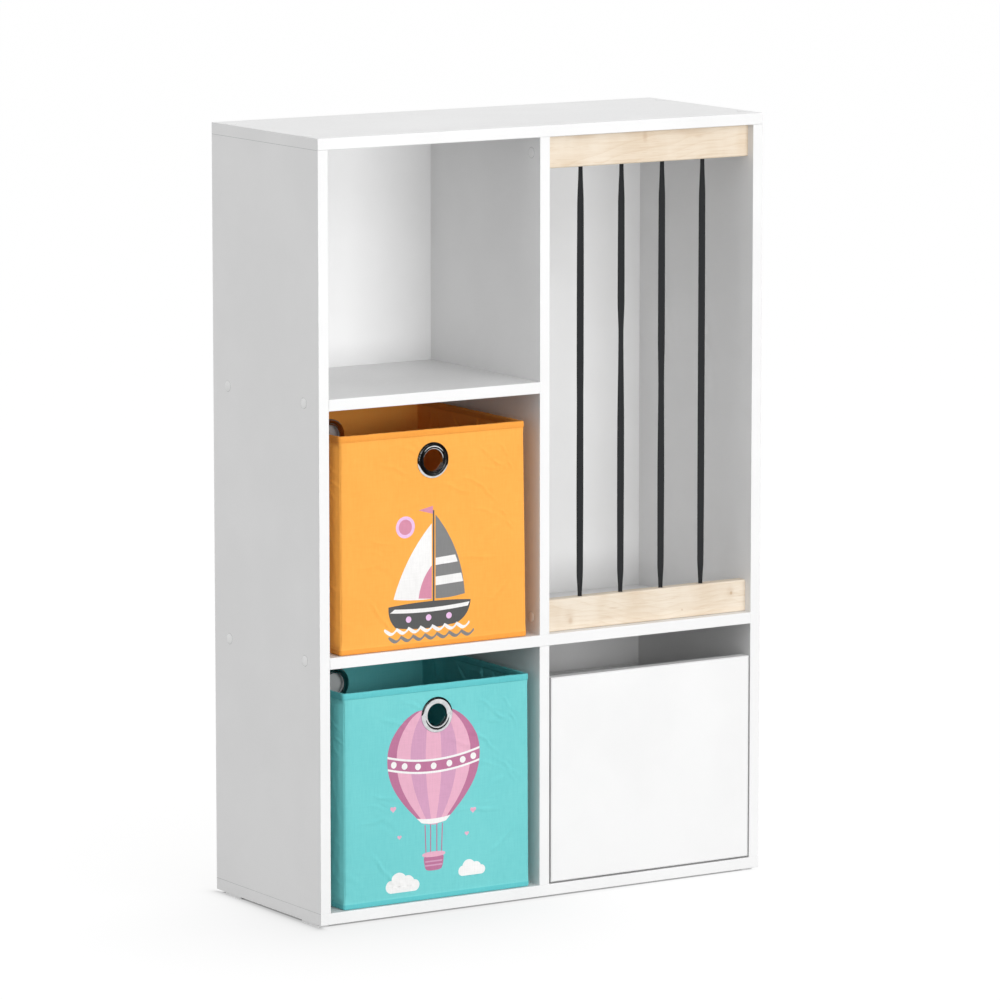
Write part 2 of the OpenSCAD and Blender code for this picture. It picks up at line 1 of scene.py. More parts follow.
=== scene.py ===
import math

import bpy
import numpy as np
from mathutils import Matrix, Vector
from mathutils.geometry import delaunay_2d_cdt


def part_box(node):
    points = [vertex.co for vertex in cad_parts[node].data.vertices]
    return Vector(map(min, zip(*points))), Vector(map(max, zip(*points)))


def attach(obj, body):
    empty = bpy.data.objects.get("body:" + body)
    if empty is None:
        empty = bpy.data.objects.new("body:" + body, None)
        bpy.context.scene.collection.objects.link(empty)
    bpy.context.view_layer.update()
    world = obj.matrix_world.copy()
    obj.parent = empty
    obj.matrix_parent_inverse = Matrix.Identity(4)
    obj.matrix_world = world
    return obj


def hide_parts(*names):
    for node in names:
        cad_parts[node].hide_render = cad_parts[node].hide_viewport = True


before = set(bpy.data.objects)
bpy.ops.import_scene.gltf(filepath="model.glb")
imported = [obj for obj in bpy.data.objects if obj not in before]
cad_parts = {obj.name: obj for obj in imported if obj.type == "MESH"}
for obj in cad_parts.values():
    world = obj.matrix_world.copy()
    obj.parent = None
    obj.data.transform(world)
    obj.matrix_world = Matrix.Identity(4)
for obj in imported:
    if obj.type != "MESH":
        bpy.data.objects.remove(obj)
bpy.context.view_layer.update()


# ---- Carcass boards ----
# Chipboard boards faced with white melamine, screwed together through the sides and the top.
# The foil has a very fine grain. The front edges carry a glued plastic band, whose joint with
# the face shows as a hairline behind the rounded edge.

def paint(code):
    """A colour as a printer's code, such as #F6F6F5, in the numbers that a shader mixes."""
    parts = [int(code[i:i + 2], 16) / 255 for i in (1, 3, 5)]
    return tuple(c / 12.92 if c <= 0.04045 else ((c + 0.055) / 1.055) ** 2.4 for c in parts) + (1.0,)


class Value:
    """What one step of a shader gives. Arithmetic on it adds the steps that work it out."""

    def __init__(self, socket):
        self.socket, self.tree = socket, socket.id_data

    def __add__(self, other):
        return maths("ADD", self, other)

    def __sub__(self, other):
        return maths("SUBTRACT", self, other)

    def __rsub__(self, other):
        return maths("SUBTRACT", other, self)

    def __mul__(self, other):
        return maths("MULTIPLY", self, other)

    def __truediv__(self, other):
        return maths("DIVIDE", self, other)

    def __abs__(self):
        return maths("ABSOLUTE", self)


def feed(socket, value):
    """Links a step's value to a socket, or sets the socket to a number, a place or a colour code."""
    if isinstance(value, Value):
        value.tree.links.new(value.socket, socket)
    else:
        socket.default_value = paint(value) if isinstance(value, str) else value


def add(tree, kind, inputs, output=0, **settings):
    step = tree.nodes.new("ShaderNode" + kind)
    for name, value in settings.items():
        setattr(step, name, value)
    for socket, value in inputs.items():
        feed(step.inputs[socket], value)
    return Value(step.outputs[output])


def maths(operation, *values):
    tree = next(value.tree for value in values if isinstance(value, Value))
    return add(tree, "Math", dict(enumerate(values)), operation=operation)


def vector_maths(operation, *values, output=0):
    return add(values[0].tree, "VectorMath", dict(enumerate(values)), output, operation=operation)


def between(value, low, high, to_low=0.0, to_high=1.0):
    """value run from low..high to to_low..to_high, eased at both ends."""
    inputs = {"Value": value, "From Min": low, "From Max": high, "To Min": to_low, "To Max": to_high}
    return add(value.tree, "MapRange", inputs, interpolation_type="SMOOTHSTEP")


def mixed(share, first, second):
    return add(share.tree, "Mix", {0: share, 6: first, 7: second}, 2, data_type="RGBA")


def scaled(colour, share):
    return add(colour.tree, "VectorMath", {0: colour, "Scale": share}, operation="SCALE")


def noise(where, scale, detail=2.0, roughness=0.5, stretch=None):
    if stretch:
        where = vector_maths("MULTIPLY", where, stretch)
    inputs = {"Vector": where, "Scale": scale, "Detail": detail, "Roughness": roughness}
    return add(where.tree, "TexNoise", inputs, "Fac")


def hairline(distance, width):
    """1 on the line where distance is 0, and 0 past width on both sides."""
    return between(abs(distance), width * 0.4, width, 1.0, 0.0)


def along_axes(vector):
    """The x, y and z of a place or a direction."""
    step = add(vector.tree, "SeparateXYZ", {"Vector": vector}).socket.node
    return [Value(output) for output in step.outputs]


class Finish:
    """A material. It knows the place on its piece in metres, as where and as x, y and z."""

    def __init__(self, name, roughness, **sockets):
        self.material = bpy.data.materials.new(name)
        self.material.use_nodes = True
        self.tree = self.material.node_tree
        self.surface = self.tree.nodes["Principled BSDF"]
        self.where = add(self.tree, "TexCoord", {}, "Object")
        self.x, self.y, self.z = along_axes(self.where)
        self.set(Roughness=roughness, **sockets)

    def set(self, **sockets):
        for name, value in sockets.items():
            feed(self.surface.inputs[name.replace("_", " ")], value)

    def fed(self, name):
        """The value that is linked to a socket now."""
        return Value(self.surface.inputs[name].links[0].from_socket)

    def raised(self, height, distance):
        """Raises the surface by distance where height is 1, over what is raised already."""
        inputs = {"Height": height, "Distance": distance}
        if self.surface.inputs["Normal"].is_linked:
            inputs["Normal"] = self.fed("Normal")
        self.set(Normal=add(self.tree, "Bump", inputs))


melamine_white = "#EAEAEA"
melamine_shadow = "#E7E7E7"
band_seam_grey = "#B9BABB"
band_joint, band_joint_half = 0.0011, 0.00022
board_joint_grey = "#AEAFB0"
board_joint_half = 0.00035
joint_dip = 0.00008


def melamine(name):
    finish = Finish(name, 0.42)
    cloud = noise(finish.where, 7, 3)
    grain = noise(finish.where, 1300, 2, 0.6)
    foil = noise(finish.where, 240, 2)
    face = mixed(between(cloud, 0.35, 0.65), melamine_shadow, melamine_white)
    finish.set(Base_Color=scaled(face, between(grain, 0.3, 0.7, 0.978, 1.0)),
               Roughness=between(foil, 0.3, 0.7, 0.36, 0.47))
    finish.raised(foil, 0.00003)
    finish.raised(grain, 0.00002)
    return finish


def add_seam(finish, line, grey=band_seam_grey):
    """Draws a fine joint between two faces where line is 1."""
    finish.set(Base_Color=mixed(line, finish.fed("Base Color"), grey))
    finish.raised(1.0 - line, joint_dip)


def dress(finish, *names):
    """Puts a finish on whole nodes of the frame."""
    for name in names:
        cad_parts[name].data.materials.clear()
        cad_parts[name].data.materials.append(finish.material)


board_face = melamine("banded_melamine")
front_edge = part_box("top_board")[0].y
add_seam(board_face, hairline(board_face.y - (front_edge + band_joint), band_joint_half))
side_low, side_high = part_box("left_side")
from_side_end = maths("MINIMUM", abs(board_face.z - side_low.z), abs(board_face.z - side_high.z))
at_side = between(abs(board_face.x) + side_low.x, -0.0004, -0.0001)
add_seam(board_face, hairline(from_side_end, board_joint_half) * at_side, board_joint_grey)
dress(board_face, "top_board", "bottom_board", "left_side", "right_side",
      "upper_divider", "lower_divider", "middle_shelf", "upper_shelf")


# ---- Back panel ----
# One sheet of thin hardboard, nailed on behind the carcass. Its front is lacquered white,
# and its rear is raw brown fibre, smooth from the press.

lacquer_white = "#E7E7E7"
fibre_brown = "#B08D66"
fibre_dark = "#8E6D4A"

hardboard = Finish("lacquered_hardboard", 0.5)
fibres = noise(hardboard.where, 420, 4, 0.7)
blotches = noise(hardboard.where, 9, 3)
fibre = mixed(between(fibres, 0.35, 0.68), fibre_dark, fibre_brown)
fibre = mixed(between(blotches, 0.3, 0.8, 0.0, 0.35), fibre, fibre_dark)
white_coat = mixed(between(blotches, 0.3, 0.7), lacquer_white, melamine_white)
facing = along_axes(add(hardboard.tree, "NewGeometry", {}, "True Normal"))
rear_side = between(facing[1], -0.4, 0.4)
hardboard.set(Base_Color=mixed(rear_side, white_coat, fibre),
              Roughness=between(rear_side, 0.0, 1.0, 0.44, 0.78))
hardboard.raised(fibres, 0.00005)
dress(hardboard, "back_panel")


# ---- Panel nails ----
# Small galvanised nails with round, slightly domed heads. They hold the back panel to the
# rear edges of the boards.

nail_head_r = 0.0024
nail_head_h = 0.0007
nail_sunk = 0.0004
nail_pitch = 0.118
nail_inset = 0.007
zinc_dark, zinc_light = "#9EA3A8", "#C7CBCF"


def new_piece(name, points, faces, finishes, smooth=True, which=None, runs=None):
    """A mesh piece in the object's own frame. which gives each face's finish by number, and
    runs how far each point lies along and across its cloth, in metres."""
    mesh = bpy.data.meshes.new(name)
    mesh.from_pydata([tuple(p) for p in points], [], [tuple(f) for f in faces])
    for finish in finishes:
        mesh.materials.append(finish.material)
    if smooth:
        mesh.polygons.foreach_set("use_smooth", [True] * len(mesh.polygons))
    if which is not None:
        mesh.polygons.foreach_set("material_index", list(which))
    if runs is not None:
        corners = np.zeros(len(mesh.loops), np.int32)
        mesh.loops.foreach_get("vertex_index", corners)
        layer = mesh.uv_layers.new(name="cloth_run")
        layer.data.foreach_set("uv", np.asarray(runs, float)[corners].ravel())
    mesh.update()
    piece = bpy.data.objects.new(name, mesh)
    bpy.context.scene.collection.objects.link(piece)
    return piece


def grid_faces(rows, columns, wrap=False, closed=False):
    """Quads over points that are stored row by row. wrap joins each row's ends, and closed
    joins the last row to the first."""
    return [(r * columns + c, r * columns + (c + 1) % columns,
             (r + 1) % rows * columns + (c + 1) % columns, (r + 1) % rows * columns + c)
            for r in range(rows if closed else rows - 1)
            for c in range(columns if wrap else columns - 1)]


def turns(count):
    """The angles of points spread evenly round a circle."""
    return [2 * math.pi * i / count for i in range(count)]


def turned_rings(profile, centre, axis, sides, closed=False):
    """Points and faces of a profile of (radius, height) turned about axis at centre. A closed
    profile joins its end to its start, and an open one is filled in at both ends."""
    axis = Vector(axis).normalized()
    across = axis.orthogonal().normalized()
    other = axis.cross(across)
    points = [Vector(centre) + axis * height + (across * math.cos(a) + other * math.sin(a)) * radius
              for radius, height in profile for a in turns(sides)]
    faces = grid_faces(len(profile), sides, wrap=True, closed=closed)
    if not closed:
        faces += [tuple(reversed(range(sides))), tuple(range(len(points) - sides, len(points)))]
    return points, faces


def gathered(parts):
    """Several (points, faces) lists as one."""
    points, faces = [], []
    for some_points, some_faces in parts:
        start = len(points)
        points += some_points
        faces += [tuple(start + i for i in face) for face in some_faces]
    return points, faces


def middle(node):
    """The middle of a node's box, as x, y and z."""
    return [(low + high) / 2 for low, high in zip(*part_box(node))]


def nail_row(start, end):
    count = max(2, round((Vector(end) - Vector(start)).length / nail_pitch) + 1)
    return [Vector(start).lerp(Vector(end), i / (count - 1)) for i in range(count)]


galvanised = Finish("galvanised_steel", 0.36, Metallic=0.9)
spangle = add(galvanised.tree, "TexVoronoi", {"Vector": galvanised.where, "Scale": 420}, "Color")
spangle = add(galvanised.tree, "SeparateColor", {"Color": spangle})
galvanised.set(Base_Color=mixed(spangle, zinc_dark, zinc_light),
               Roughness=between(spangle, 0.0, 1.0, 0.26, 0.46))

panel_low, panel_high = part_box("back_panel")
left_line, right_line = middle("left_side")[0], middle("right_side")[0]
shelf_line = middle("middle_shelf")[2]
low_line, high_line = panel_low.z + nail_inset, panel_high.z - nail_inset
nail_lines = [((left_line, 0.03), (left_line, 1.045)), ((right_line, 0.03), (right_line, 1.045)),
              ((-0.29, high_line), (0.29, high_line)), ((-0.29, low_line), (0.29, low_line)),
              ((-0.29, shelf_line), (0.29, shelf_line)), ((0.0, 0.10), (0.0, 0.28)),
              ((0.0, 0.45), (0.0, 0.97))]
nail_places = [p for (x0, z0), (x1, z1) in nail_lines
               for p in nail_row((x0, panel_high.y, z0), (x1, panel_high.y, z1))]
nail_profile = [(nail_head_r, -nail_sunk), (nail_head_r, nail_head_h * 0.45),
                (nail_head_r * 0.82, nail_head_h * 0.85), (nail_head_r * 0.4, nail_head_h)]
nail_heads = gathered([turned_rings(nail_profile, p, (0, 1, 0), 14) for p in nail_places])
nails = new_piece("panel_nails", *nail_heads, [galvanised])
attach(nails, "cabinet")


# ---- Floor glides and cover caps ----
# White plastic parts: low glides that keep the carcass off the floor, and small round caps,
# a little domed, pressed over the heads of the screws. The moulded face is slightly shiny. A thin
# grey ring is painted round each cap where it meets its board: painted shade at the cap's foot.

glide_white = "#ECECEC"
cap_white = "#F0F0F0"
# The grey of the thin ring round each cap's foot is painted shade.
cap_shade_grey = "#8C8D8D"
cap_shade_wide, cap_shade_high = 0.0003, 0.00004
cap_sides, cap_reach = 40, 0.0155
cap_rim, cap_steps = 0.22, (0.985, 0.94, 0.86, 0.74, 0.6, 0.44, 0.27, 0.1)


def moulded_plastic(name, colour, roughness):
    finish = Finish(name, roughness)
    flow = noise(finish.where, 60, 3)
    darker = tuple(c * 0.93 for c in paint(colour)[:3]) + (1.0,)
    finish.set(Base_Color=mixed(between(flow, 0.3, 0.7), darker, colour),
               Roughness=between(flow, 0.3, 0.7, roughness, roughness + 0.08))
    finish.raised(noise(finish.where, 2600, 1), 0.00002)
    return finish


def separate_solids(mesh, reach):
    """The lowest and the highest corner of each separate solid in a mesh, none wider than reach."""
    groups = []
    for corner in (v.co for v in mesh.vertices):
        near = next((g for g in groups if (g[0] - corner).length < reach), None)
        groups.append([corner]) if near is None else near.append(corner)
    return [[Vector([pick(c[k] for c in group) for k in range(3)]) for pick in (min, max)]
            for group in groups]


caps, cap_parts = [], []
for low, high in separate_solids(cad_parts["screw_caps"].data, cap_reach):
    size, centre = high - low, (low + high) / 2
    way = min(range(3), key=lambda k: size[k])
    outward = Vector([0, 0, 0])
    outward[way] = -1.0 if way == 0 and centre.x < 0.1 else 1.0
    cap_r, cap_h = max(size) / 2, size[way]
    # The first rings make a thin band round the cap's foot, whose faces get the painted shade.
    dome = [(cap_r + cap_shade_wide, 0.0), (cap_r + cap_shade_wide, cap_shade_high), (cap_r, cap_shade_high),
            (cap_r, cap_h * cap_rim)]
    dome += [(cap_r * k, cap_h * (cap_rim + (1 - cap_rim) * (1 - k * k) ** 0.9)) for k in cap_steps]
    caps.append(turned_rings(dome, centre - outward * (cap_h / 2), outward, cap_sides))
    cap_parts += [1] * (2 * cap_sides) + [0] * (len(caps[-1][1]) - 2 * cap_sides)
cap_plastic = moulded_plastic("cap_plastic", cap_white, 0.3)
cap_shade = moulded_plastic("cap_painted_shade_line", cap_shade_grey, 0.5)
cover_caps = new_piece("cover_caps", *gathered(caps), [cap_plastic, cap_shade], which=cap_parts)
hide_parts("screw_caps")
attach(cover_caps, "cabinet")

dress(moulded_plastic("glide_plastic", glide_white, 0.34), "floor_glides")
dress(galvanised, "carcass_screws")


# ---- Wooden rails and dowels ----
# Two planed rails of pale birch across the tall bay, with eased edges and a clear matt
# lacquer. Their figure comes from growth rings cut almost along the tree.

birch_light = "#E5D9C8"
birch_deep = "#D2BDA2"
birch_pore = "#BFA07A"
birch_eye = "#B08A5E"


def birch(name, core, ring_tilt, ring_gap, painted_light_scale=1.0, eyes=(), painted_shadow_edge=None):
    """core is the (y, z) place of the tree's core beside the board. Each eye, a small knot in
    the figure, has its x and z, its half width and half height, and its strength. The whole rail's
    colour is scaled lighter or darker as painted light and shade, and along the top edge, where the
    rail closes under a board, a painted shadow darkens the wood."""
    wood = Finish(name, 0.5)
    sway = noise(wood.where, 3.2, 3, 0.55, stretch=(1.0, 2.0, 2.0))
    ripple = noise(wood.where, 26, 3, 0.5, stretch=(0.35, 1.0, 1.0))
    off_y = wood.y - core[0]
    off_z = wood.z - core[1] + wood.x * ring_tilt + sway * 0.11
    radius = maths("SQRT", off_y * off_y + off_z * off_z) + ripple * 0.005
    late_wood = maths("POWER", maths("FRACT", radius / ring_gap), 5.0)
    streaks = noise(wood.where, 230, 4, 0.65, stretch=(0.045, 1.0, 1.0))
    flecks = noise(wood.where, 700, 2, 0.5, stretch=(0.06, 1.0, 1.0))
    cloud = noise(wood.where, 15, 3, 0.55, stretch=(0.9, 1.0, 0.55))
    shade = late_wood * 0.30 + between(streaks, 0.38, 0.7, 0.0, 0.34)
    shade = shade + between(cloud, 0.32, 0.68, -0.05, 0.43)
    colour = mixed(shade, birch_light, birch_deep)
    colour = mixed(between(flecks, 0.62, 0.76, 0.0, 0.34), colour, birch_pore)
    for x, z, half_width, half_height, strength in eyes:
        away = vector_maths("SUBTRACT", wood.where, (x, 0.0, z))
        away = vector_maths("MULTIPLY", away, (1 / half_width, 0.0, 1 / half_height))
        away = vector_maths("LENGTH", away, output="Value") + (ripple - 0.5) * 0.9
        colour = mixed(between(away, 0.15, 1.0, strength, 0.0), colour, birch_eye)
    # Painted shadow along the edge that closes under the board above.
    if painted_shadow_edge:
        painted_light_scale = between(painted_shadow_edge - wood.z, 0.0006, 0.0036, 0.7 * painted_light_scale, painted_light_scale)
    wood.set(Base_Color=scaled(colour, painted_light_scale), Roughness=between(streaks, 0.3, 0.7, 0.42, 0.56))
    wood.raised(streaks, 0.00008)
    return wood


# Painted light and shade: the top rail's colour is scaled lighter and the bottom rail's darker.
top_wood = birch("birch_top_rail", (-0.215, 1.115), -0.13, 0.0085, 1.03,
                 painted_shadow_edge=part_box("top_rail")[1].z,
                 eyes=((0.0125, 1.0205, 0.0026, 0.0022, 0.8), (0.172, 1.051, 0.006, 0.012, 0.3),
                       (0.150, 1.057, 0.030, 0.004, 0.22), (0.070, 1.056, 0.034, 0.004, 0.26),
                       (0.243, 1.055, 0.044, 0.006, 0.2), (0.262, 1.047, 0.012, 0.003, 0.2)))
low_wood = birch("birch_bottom_rail", (-0.19, 0.30), 0.05, 0.0075, 0.965,
                 eyes=((0.320, 0.400, 0.0034, 0.0044, 0.6), (0.319, 0.403, 0.010, 0.014, 0.2),
                       (0.051, 0.385, 0.0055, 0.0075, 0.36), (0.049, 0.390, 0.014, 0.018, 0.18),
                       (0.237, 0.3835, 0.0024, 0.0024, 0.5), (0.123, 0.3965, 0.013, 0.002, 0.26),
                       (0.110, 0.385, 0.020, 0.005, 0.12)))
dress(top_wood, "top_rail")
dress(low_wood, "bottom_rail")
dress(birch("birch_dowels", (0.4, 0.2), 0.0, 0.004), "divider_dowels", "drawer_dowels")


# ---- Elastic straps ----
# Four flat straps of woven elastic, ribbed along their length. Each is gathered into pleats
# where it enters the rails, and a knot in a pocket holds each end. All but the fourth are
# turned a little on the way, the second the most.

strap_width, strap_thick = 0.0116, 0.0012
gather_width, gather_thick = 0.0062, 0.0025
gather_below_top, gather_above_low = 0.055, 0.035
open_share, slow_gather = 0.8, 0.170
twist_turn, twist_below, twist_above = math.radians(20), 0.150, 0.048
# Each strap's share of the twist, and how high over the lower rail it is turned the most.
twists = {1: (0.25, 0.276), 2: (1.0, 0.362), 3: (0.6, 0.297), 4: (0.0, 0.362)}
knot_across, knot_height, knot_strand = 0.0116, 0.0088, 0.0015
rib_count, stitch_pitch = 15, 0.0011
elastic_black, elastic_rib, elastic_lint = "#242527", "#343537", "#545557"
low_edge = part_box("bottom_rail")[1].z
high_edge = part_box("top_rail")[0].z

elastic = Finish("woven_elastic", 0.78, Specular_IOR_Level=0.25)
run = along_axes(add(elastic.tree, "UVMap", {}, uv_map="cloth_run"))
rib = maths("SINE", run[0] * (2 * math.pi * rib_count / strap_width))
stitch = maths("SINE", run[1] * (2 * math.pi / stitch_pitch) + maths("SIGN", rib) * 1.57)
weave = abs(rib) + stitch * 0.35
yarn = mixed(between(weave, 0.1, 1.2), elastic_black, elastic_rib)
lint = between(noise(elastic.where, 900, 3), 0.62, 0.8, 0.0, 0.25)
elastic.set(Base_Color=mixed(lint, yarn, elastic_lint))
elastic.raised(weave, 0.00018)


def eased(value):
    value = np.clip(value, 0.0, 1.0)
    return value * value * (3 - 2 * value)


def opened(way, pleats):
    """The share of its width that a strap has regained at some way from its hole."""
    return open_share * eased(way / pleats) + (1 - open_share) * eased(way / slow_gather)


def ribbon(x, y, low, high, number):
    """One strap from knot to knot, as points, faces and cloth runs."""
    chance = np.random.default_rng(40 + number)
    twist_share, twist_height = twists[number]
    stops = [low, low_edge, low_edge + gather_above_low, high_edge - gather_below_top, high_edge, high]
    heights = [np.linspace(start, end, count)[:-1]
               for start, end, count in zip(stops, stops[1:], (5, 18, 90, 26, 5))]
    heights = np.concatenate(heights + [[high]])
    half = 15
    across = np.concatenate([np.linspace(-1, 1, half), np.linspace(1, -1, half)])
    side = np.repeat([-1.0, 1.0], half)
    edge = np.sqrt(np.maximum(0.0, 1 - np.abs(across) ** 7)) * 0.85 + 0.15
    pleat_shift = chance.uniform(-0.6, 0.6)
    points, runs = [], []
    for z in heights:
        spread = opened(z - low_edge, gather_above_low) * opened(high_edge - z, gather_below_top)
        width = gather_width + (strap_width - gather_width) * spread
        pleat = (gather_thick - strap_thick) / 2 * (1 - spread) ** 1.4
        step = z - low_edge - twist_height
        near = 1 + step / twist_below if step < 0 else 1 - step / twist_above
        turn = twist_turn * twist_share * eased(near)
        u = width / 2 * across * (1 - 0.02 * (1 - edge))
        v = side * strap_thick / 2 * edge + pleat * np.sin(across * 1.5 * math.pi + pleat_shift)
        cos, sin = math.cos(turn), math.sin(turn)
        points += [(x + a * cos - b * sin, y + a * sin + b * cos, z) for a, b in zip(u, v)]
        runs += [(t * strap_width / 2, z) for t in across]
    return points, grid_faces(len(heights), 2 * half, wrap=True), runs


def strap_knot(x, y, z):
    """An overhand knot pulled tight, from one round strand of the gathered strap."""
    steps, sides = 64, 8
    way = np.linspace(0, 2 * math.pi, steps, endpoint=False)
    wide = (knot_across / 2 - knot_strand) / 3
    line = np.stack([(2 + np.cos(3 * way)) * np.cos(2 * way) * wide,
                     (2 + np.cos(3 * way)) * np.sin(2 * way) * wide,
                     np.sin(3 * way) * (knot_height / 2 - knot_strand)], 1)
    points = []
    for i in range(steps):
        ahead = Vector(line[(i + 1) % steps] - line[i - 1]).normalized()
        first = (first - ahead * first.dot(ahead) if i else ahead.orthogonal()).normalized()
        second, centre = ahead.cross(first), Vector((x, y, z)) + Vector(line[i])
        points += [centre + (first * math.cos(a) + second * math.sin(a)) * knot_strand
                   for a in turns(sides)]
    return points, grid_faces(steps, sides, wrap=True, closed=True)


for number in range(1, 5):
    node = f"strap_{number}"
    x, y, _ = middle(node)
    low, high = (corner.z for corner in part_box(node))
    low_knot, high_knot = low + knot_height / 2, high - knot_height / 2
    points, faces, runs = ribbon(x, y, low_knot, high_knot, number)
    knots = gathered([strap_knot(x, y, low_knot), strap_knot(x, y, high_knot)])
    runs += [(p[0] - x, p[2]) for p in knots[0]]
    strap = new_piece(f"elastic_{number}", *gathered([(points, faces), knots]), [elastic], runs=runs)
    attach(strap, "cabinet")
    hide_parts(node)


# ---- Drawer ----
# A white box with a flush front, its boards joined with dowels. The front's edges are banded
# all round. The thin bottom is slid into grooves, and white steel channels carry the drawer.

front_joint_half = 0.0002
steel_shadow, steel_white = "#DCDCDB", "#E8E8E7"

drawer_face = melamine("drawer_front_melamine")
front_low, front_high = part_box("drawer_front")
nearest = maths("MINIMUM", maths("MINIMUM", drawer_face.x - front_low.x, front_high.x - drawer_face.x),
                maths("MINIMUM", drawer_face.z - front_low.z, front_high.z - drawer_face.z))
add_seam(drawer_face, hairline(nearest - band_joint, front_joint_half))

channel_steel = Finish("powder_coated_steel", 0.45)
rolled = noise(channel_steel.where, 300, 3, 0.6, stretch=(1.0, 0.03, 1.0))
peel = noise(channel_steel.where, 900, 2)
channel_steel.set(Base_Color=mixed(between(rolled, 0.3, 0.7), steel_shadow, steel_white),
                  Roughness=between(peel, 0.3, 0.7, 0.4, 0.52))
channel_steel.raised(peel, 0.00003)

dress(drawer_face, "drawer_front")
dress(melamine("drawer_board_melamine"), "drawer_left", "drawer_right", "drawer_rear", "drawer_bottom")
dress(channel_steel, "channel_left", "channel_right")
dress(cap_plastic, "tongue_left", "tongue_right")


# ---- Fabric boxes: cloth walls ----
# Each box is sewn from thin polyester cloth over card. The cloth is drawn in and creased at the
# corners, bows out beside them, is folded double along the bottom, and wrinkles where it is loose.

wall_thick = 0.003
corner_r = 0.0040
foot_r = 0.0022
hem_high, hem_proud = 0.0072, 0.0003
side_bow, bow_reach = 0.0044, 0.011
corner_sink, sink_reach = 0.0016, 0.0062
crease_deep, crease_wide, crease_sway = 0.00045, 0.0010, 0.0004
eyelet_r, barrel_r = 0.025, 0.01625
pucker_high = 0.00035
thread_pitch = 0.0009
# How finely the cloth is divided, and over what distances its wrinkles fade where it is held.
bend_steps, bend_lines = 12, 10
hem_row, row_high, fine_row, fine_zone = 0.0025, 0.0027, 0.0014, 0.040
rim_cover, lining_cover, rim_fade = 0.0085, 0.0045, 0.008
hem_edge, hem_fade, corner_fade, bow_fade, pucker_fade = 0.0003, 0.012, 0.012, 0.030, 0.013
corner_shares = (1.0, 0.25, 0.25, 1.0)
strewn_count = 150


def cloth(name, colour, shade):
    """Plain-woven cloth. colour is its thread and shade its thin places and hollows."""
    finish = Finish(name, 0.82, Sheen_Weight=0.08, Sheen_Roughness=0.45)
    run = add(finish.tree, "UVMap", {}, uv_map="cloth_run")
    slub, cross_slub = (noise(run, 70, 2, 0.5, stretch=way)
                        for way in ((7.0, 0.6, 1.0), (0.6, 7.0, 1.0)))
    warp, weft = (maths("SINE", way * (2 * math.pi / thread_pitch)) for way in along_axes(run)[:2])
    threads = (warp * weft + 1.0) * 0.5
    streaks = slub * 0.6 + cross_slub * 0.4
    blotch = between(noise(finish.where, 11, 3), 0.3, 0.7, 0.0, 0.3)
    pale = between(streaks, 0.3, 0.7, 0.0, 0.45) + threads * 0.25 + blotch
    finish.set(Base_Color=mixed(pale, shade, colour))
    finish.raised(streaks, 0.00012)
    finish.raised(threads, 0.00010)
    return finish


def wall_path(low, high, radius):
    """The line round a box's four walls, from its rear left corner by the left wall to the
    front, right and rear ones, as a table of run, x, y and the outward direction."""
    corners = [(low.x, low.y, 180), (high.x, low.y, 270), (high.x, high.y, 0), (low.x, high.y, 90)]
    table = [(low.x, high.y - radius, -1.0, 0.0)]
    for x, y, start in corners:
        cx = x + radius if x == low.x else x - radius
        cy = y + radius if y == low.y else y - radius
        for i in range(bend_steps + 1):
            a = math.radians(start + 90 * i / bend_steps)
            out_x, out_y = math.cos(a), math.sin(a)
            table.append((cx + radius * out_x, cy + radius * out_y, out_x, out_y))
    table = np.array(table)
    run = np.concatenate([[0.0], np.cumsum(np.hypot(*np.diff(table[:, :2], axis=0).T))])
    return np.column_stack([run, table])


def along_path(path, run):
    return [np.interp(run, path[:, 0], path[:, k]) for k in range(1, 5)]


def bulge(run, z, packets):
    """How far the cloth stands out at each point: the sum of small packets of wrinkles, each
    with its place, its lean, its length and width, its wave and its height. A packet wanders
    a little and swells and fades along its length."""
    out = np.zeros_like(run)
    for s0, z0, lean, long, wide, wave, height, shift in packets:
        a = (run - s0) * math.cos(lean) + (z - z0) * math.sin(lean)
        b = -(run - s0) * math.sin(lean) + (z - z0) * math.cos(lean)
        b = b + 0.22 * wide * np.sin(a / (0.3 * long) + 400 * s0)
        height = height * (0.8 + 0.2 * np.sin(a / (0.24 * long) + 900 * z0))
        fade = np.exp(-(a / long) ** 2 - (b / wide) ** 2)
        out += height * fade * np.cos(2 * math.pi * b / wave + shift)
    return out


def chance_packets(seed, count, length, high, strength):
    """Wrinkles strewn at random over a sheet, most of them leaning, short and shallow."""
    chance = np.random.default_rng(seed)
    packets = []
    for _ in range(count):
        size = chance.uniform(0.4, 1.0) ** 1.5
        lean = chance.choice([-1, 1]) * chance.normal(0.75, 0.3)
        packets.append((chance.uniform(0, length), chance.uniform(0, high), lean, 0.034 * size,
                        0.011 * size, chance.uniform(0.008, 0.02),
                        strength * size * chance.uniform(0.3, 1.0), chance.uniform(0, 2 * math.pi)))
    return packets


def straight_steps(start, end, step):
    return list(np.linspace(start, end, max(2, round((end - start) / step) + 1)))


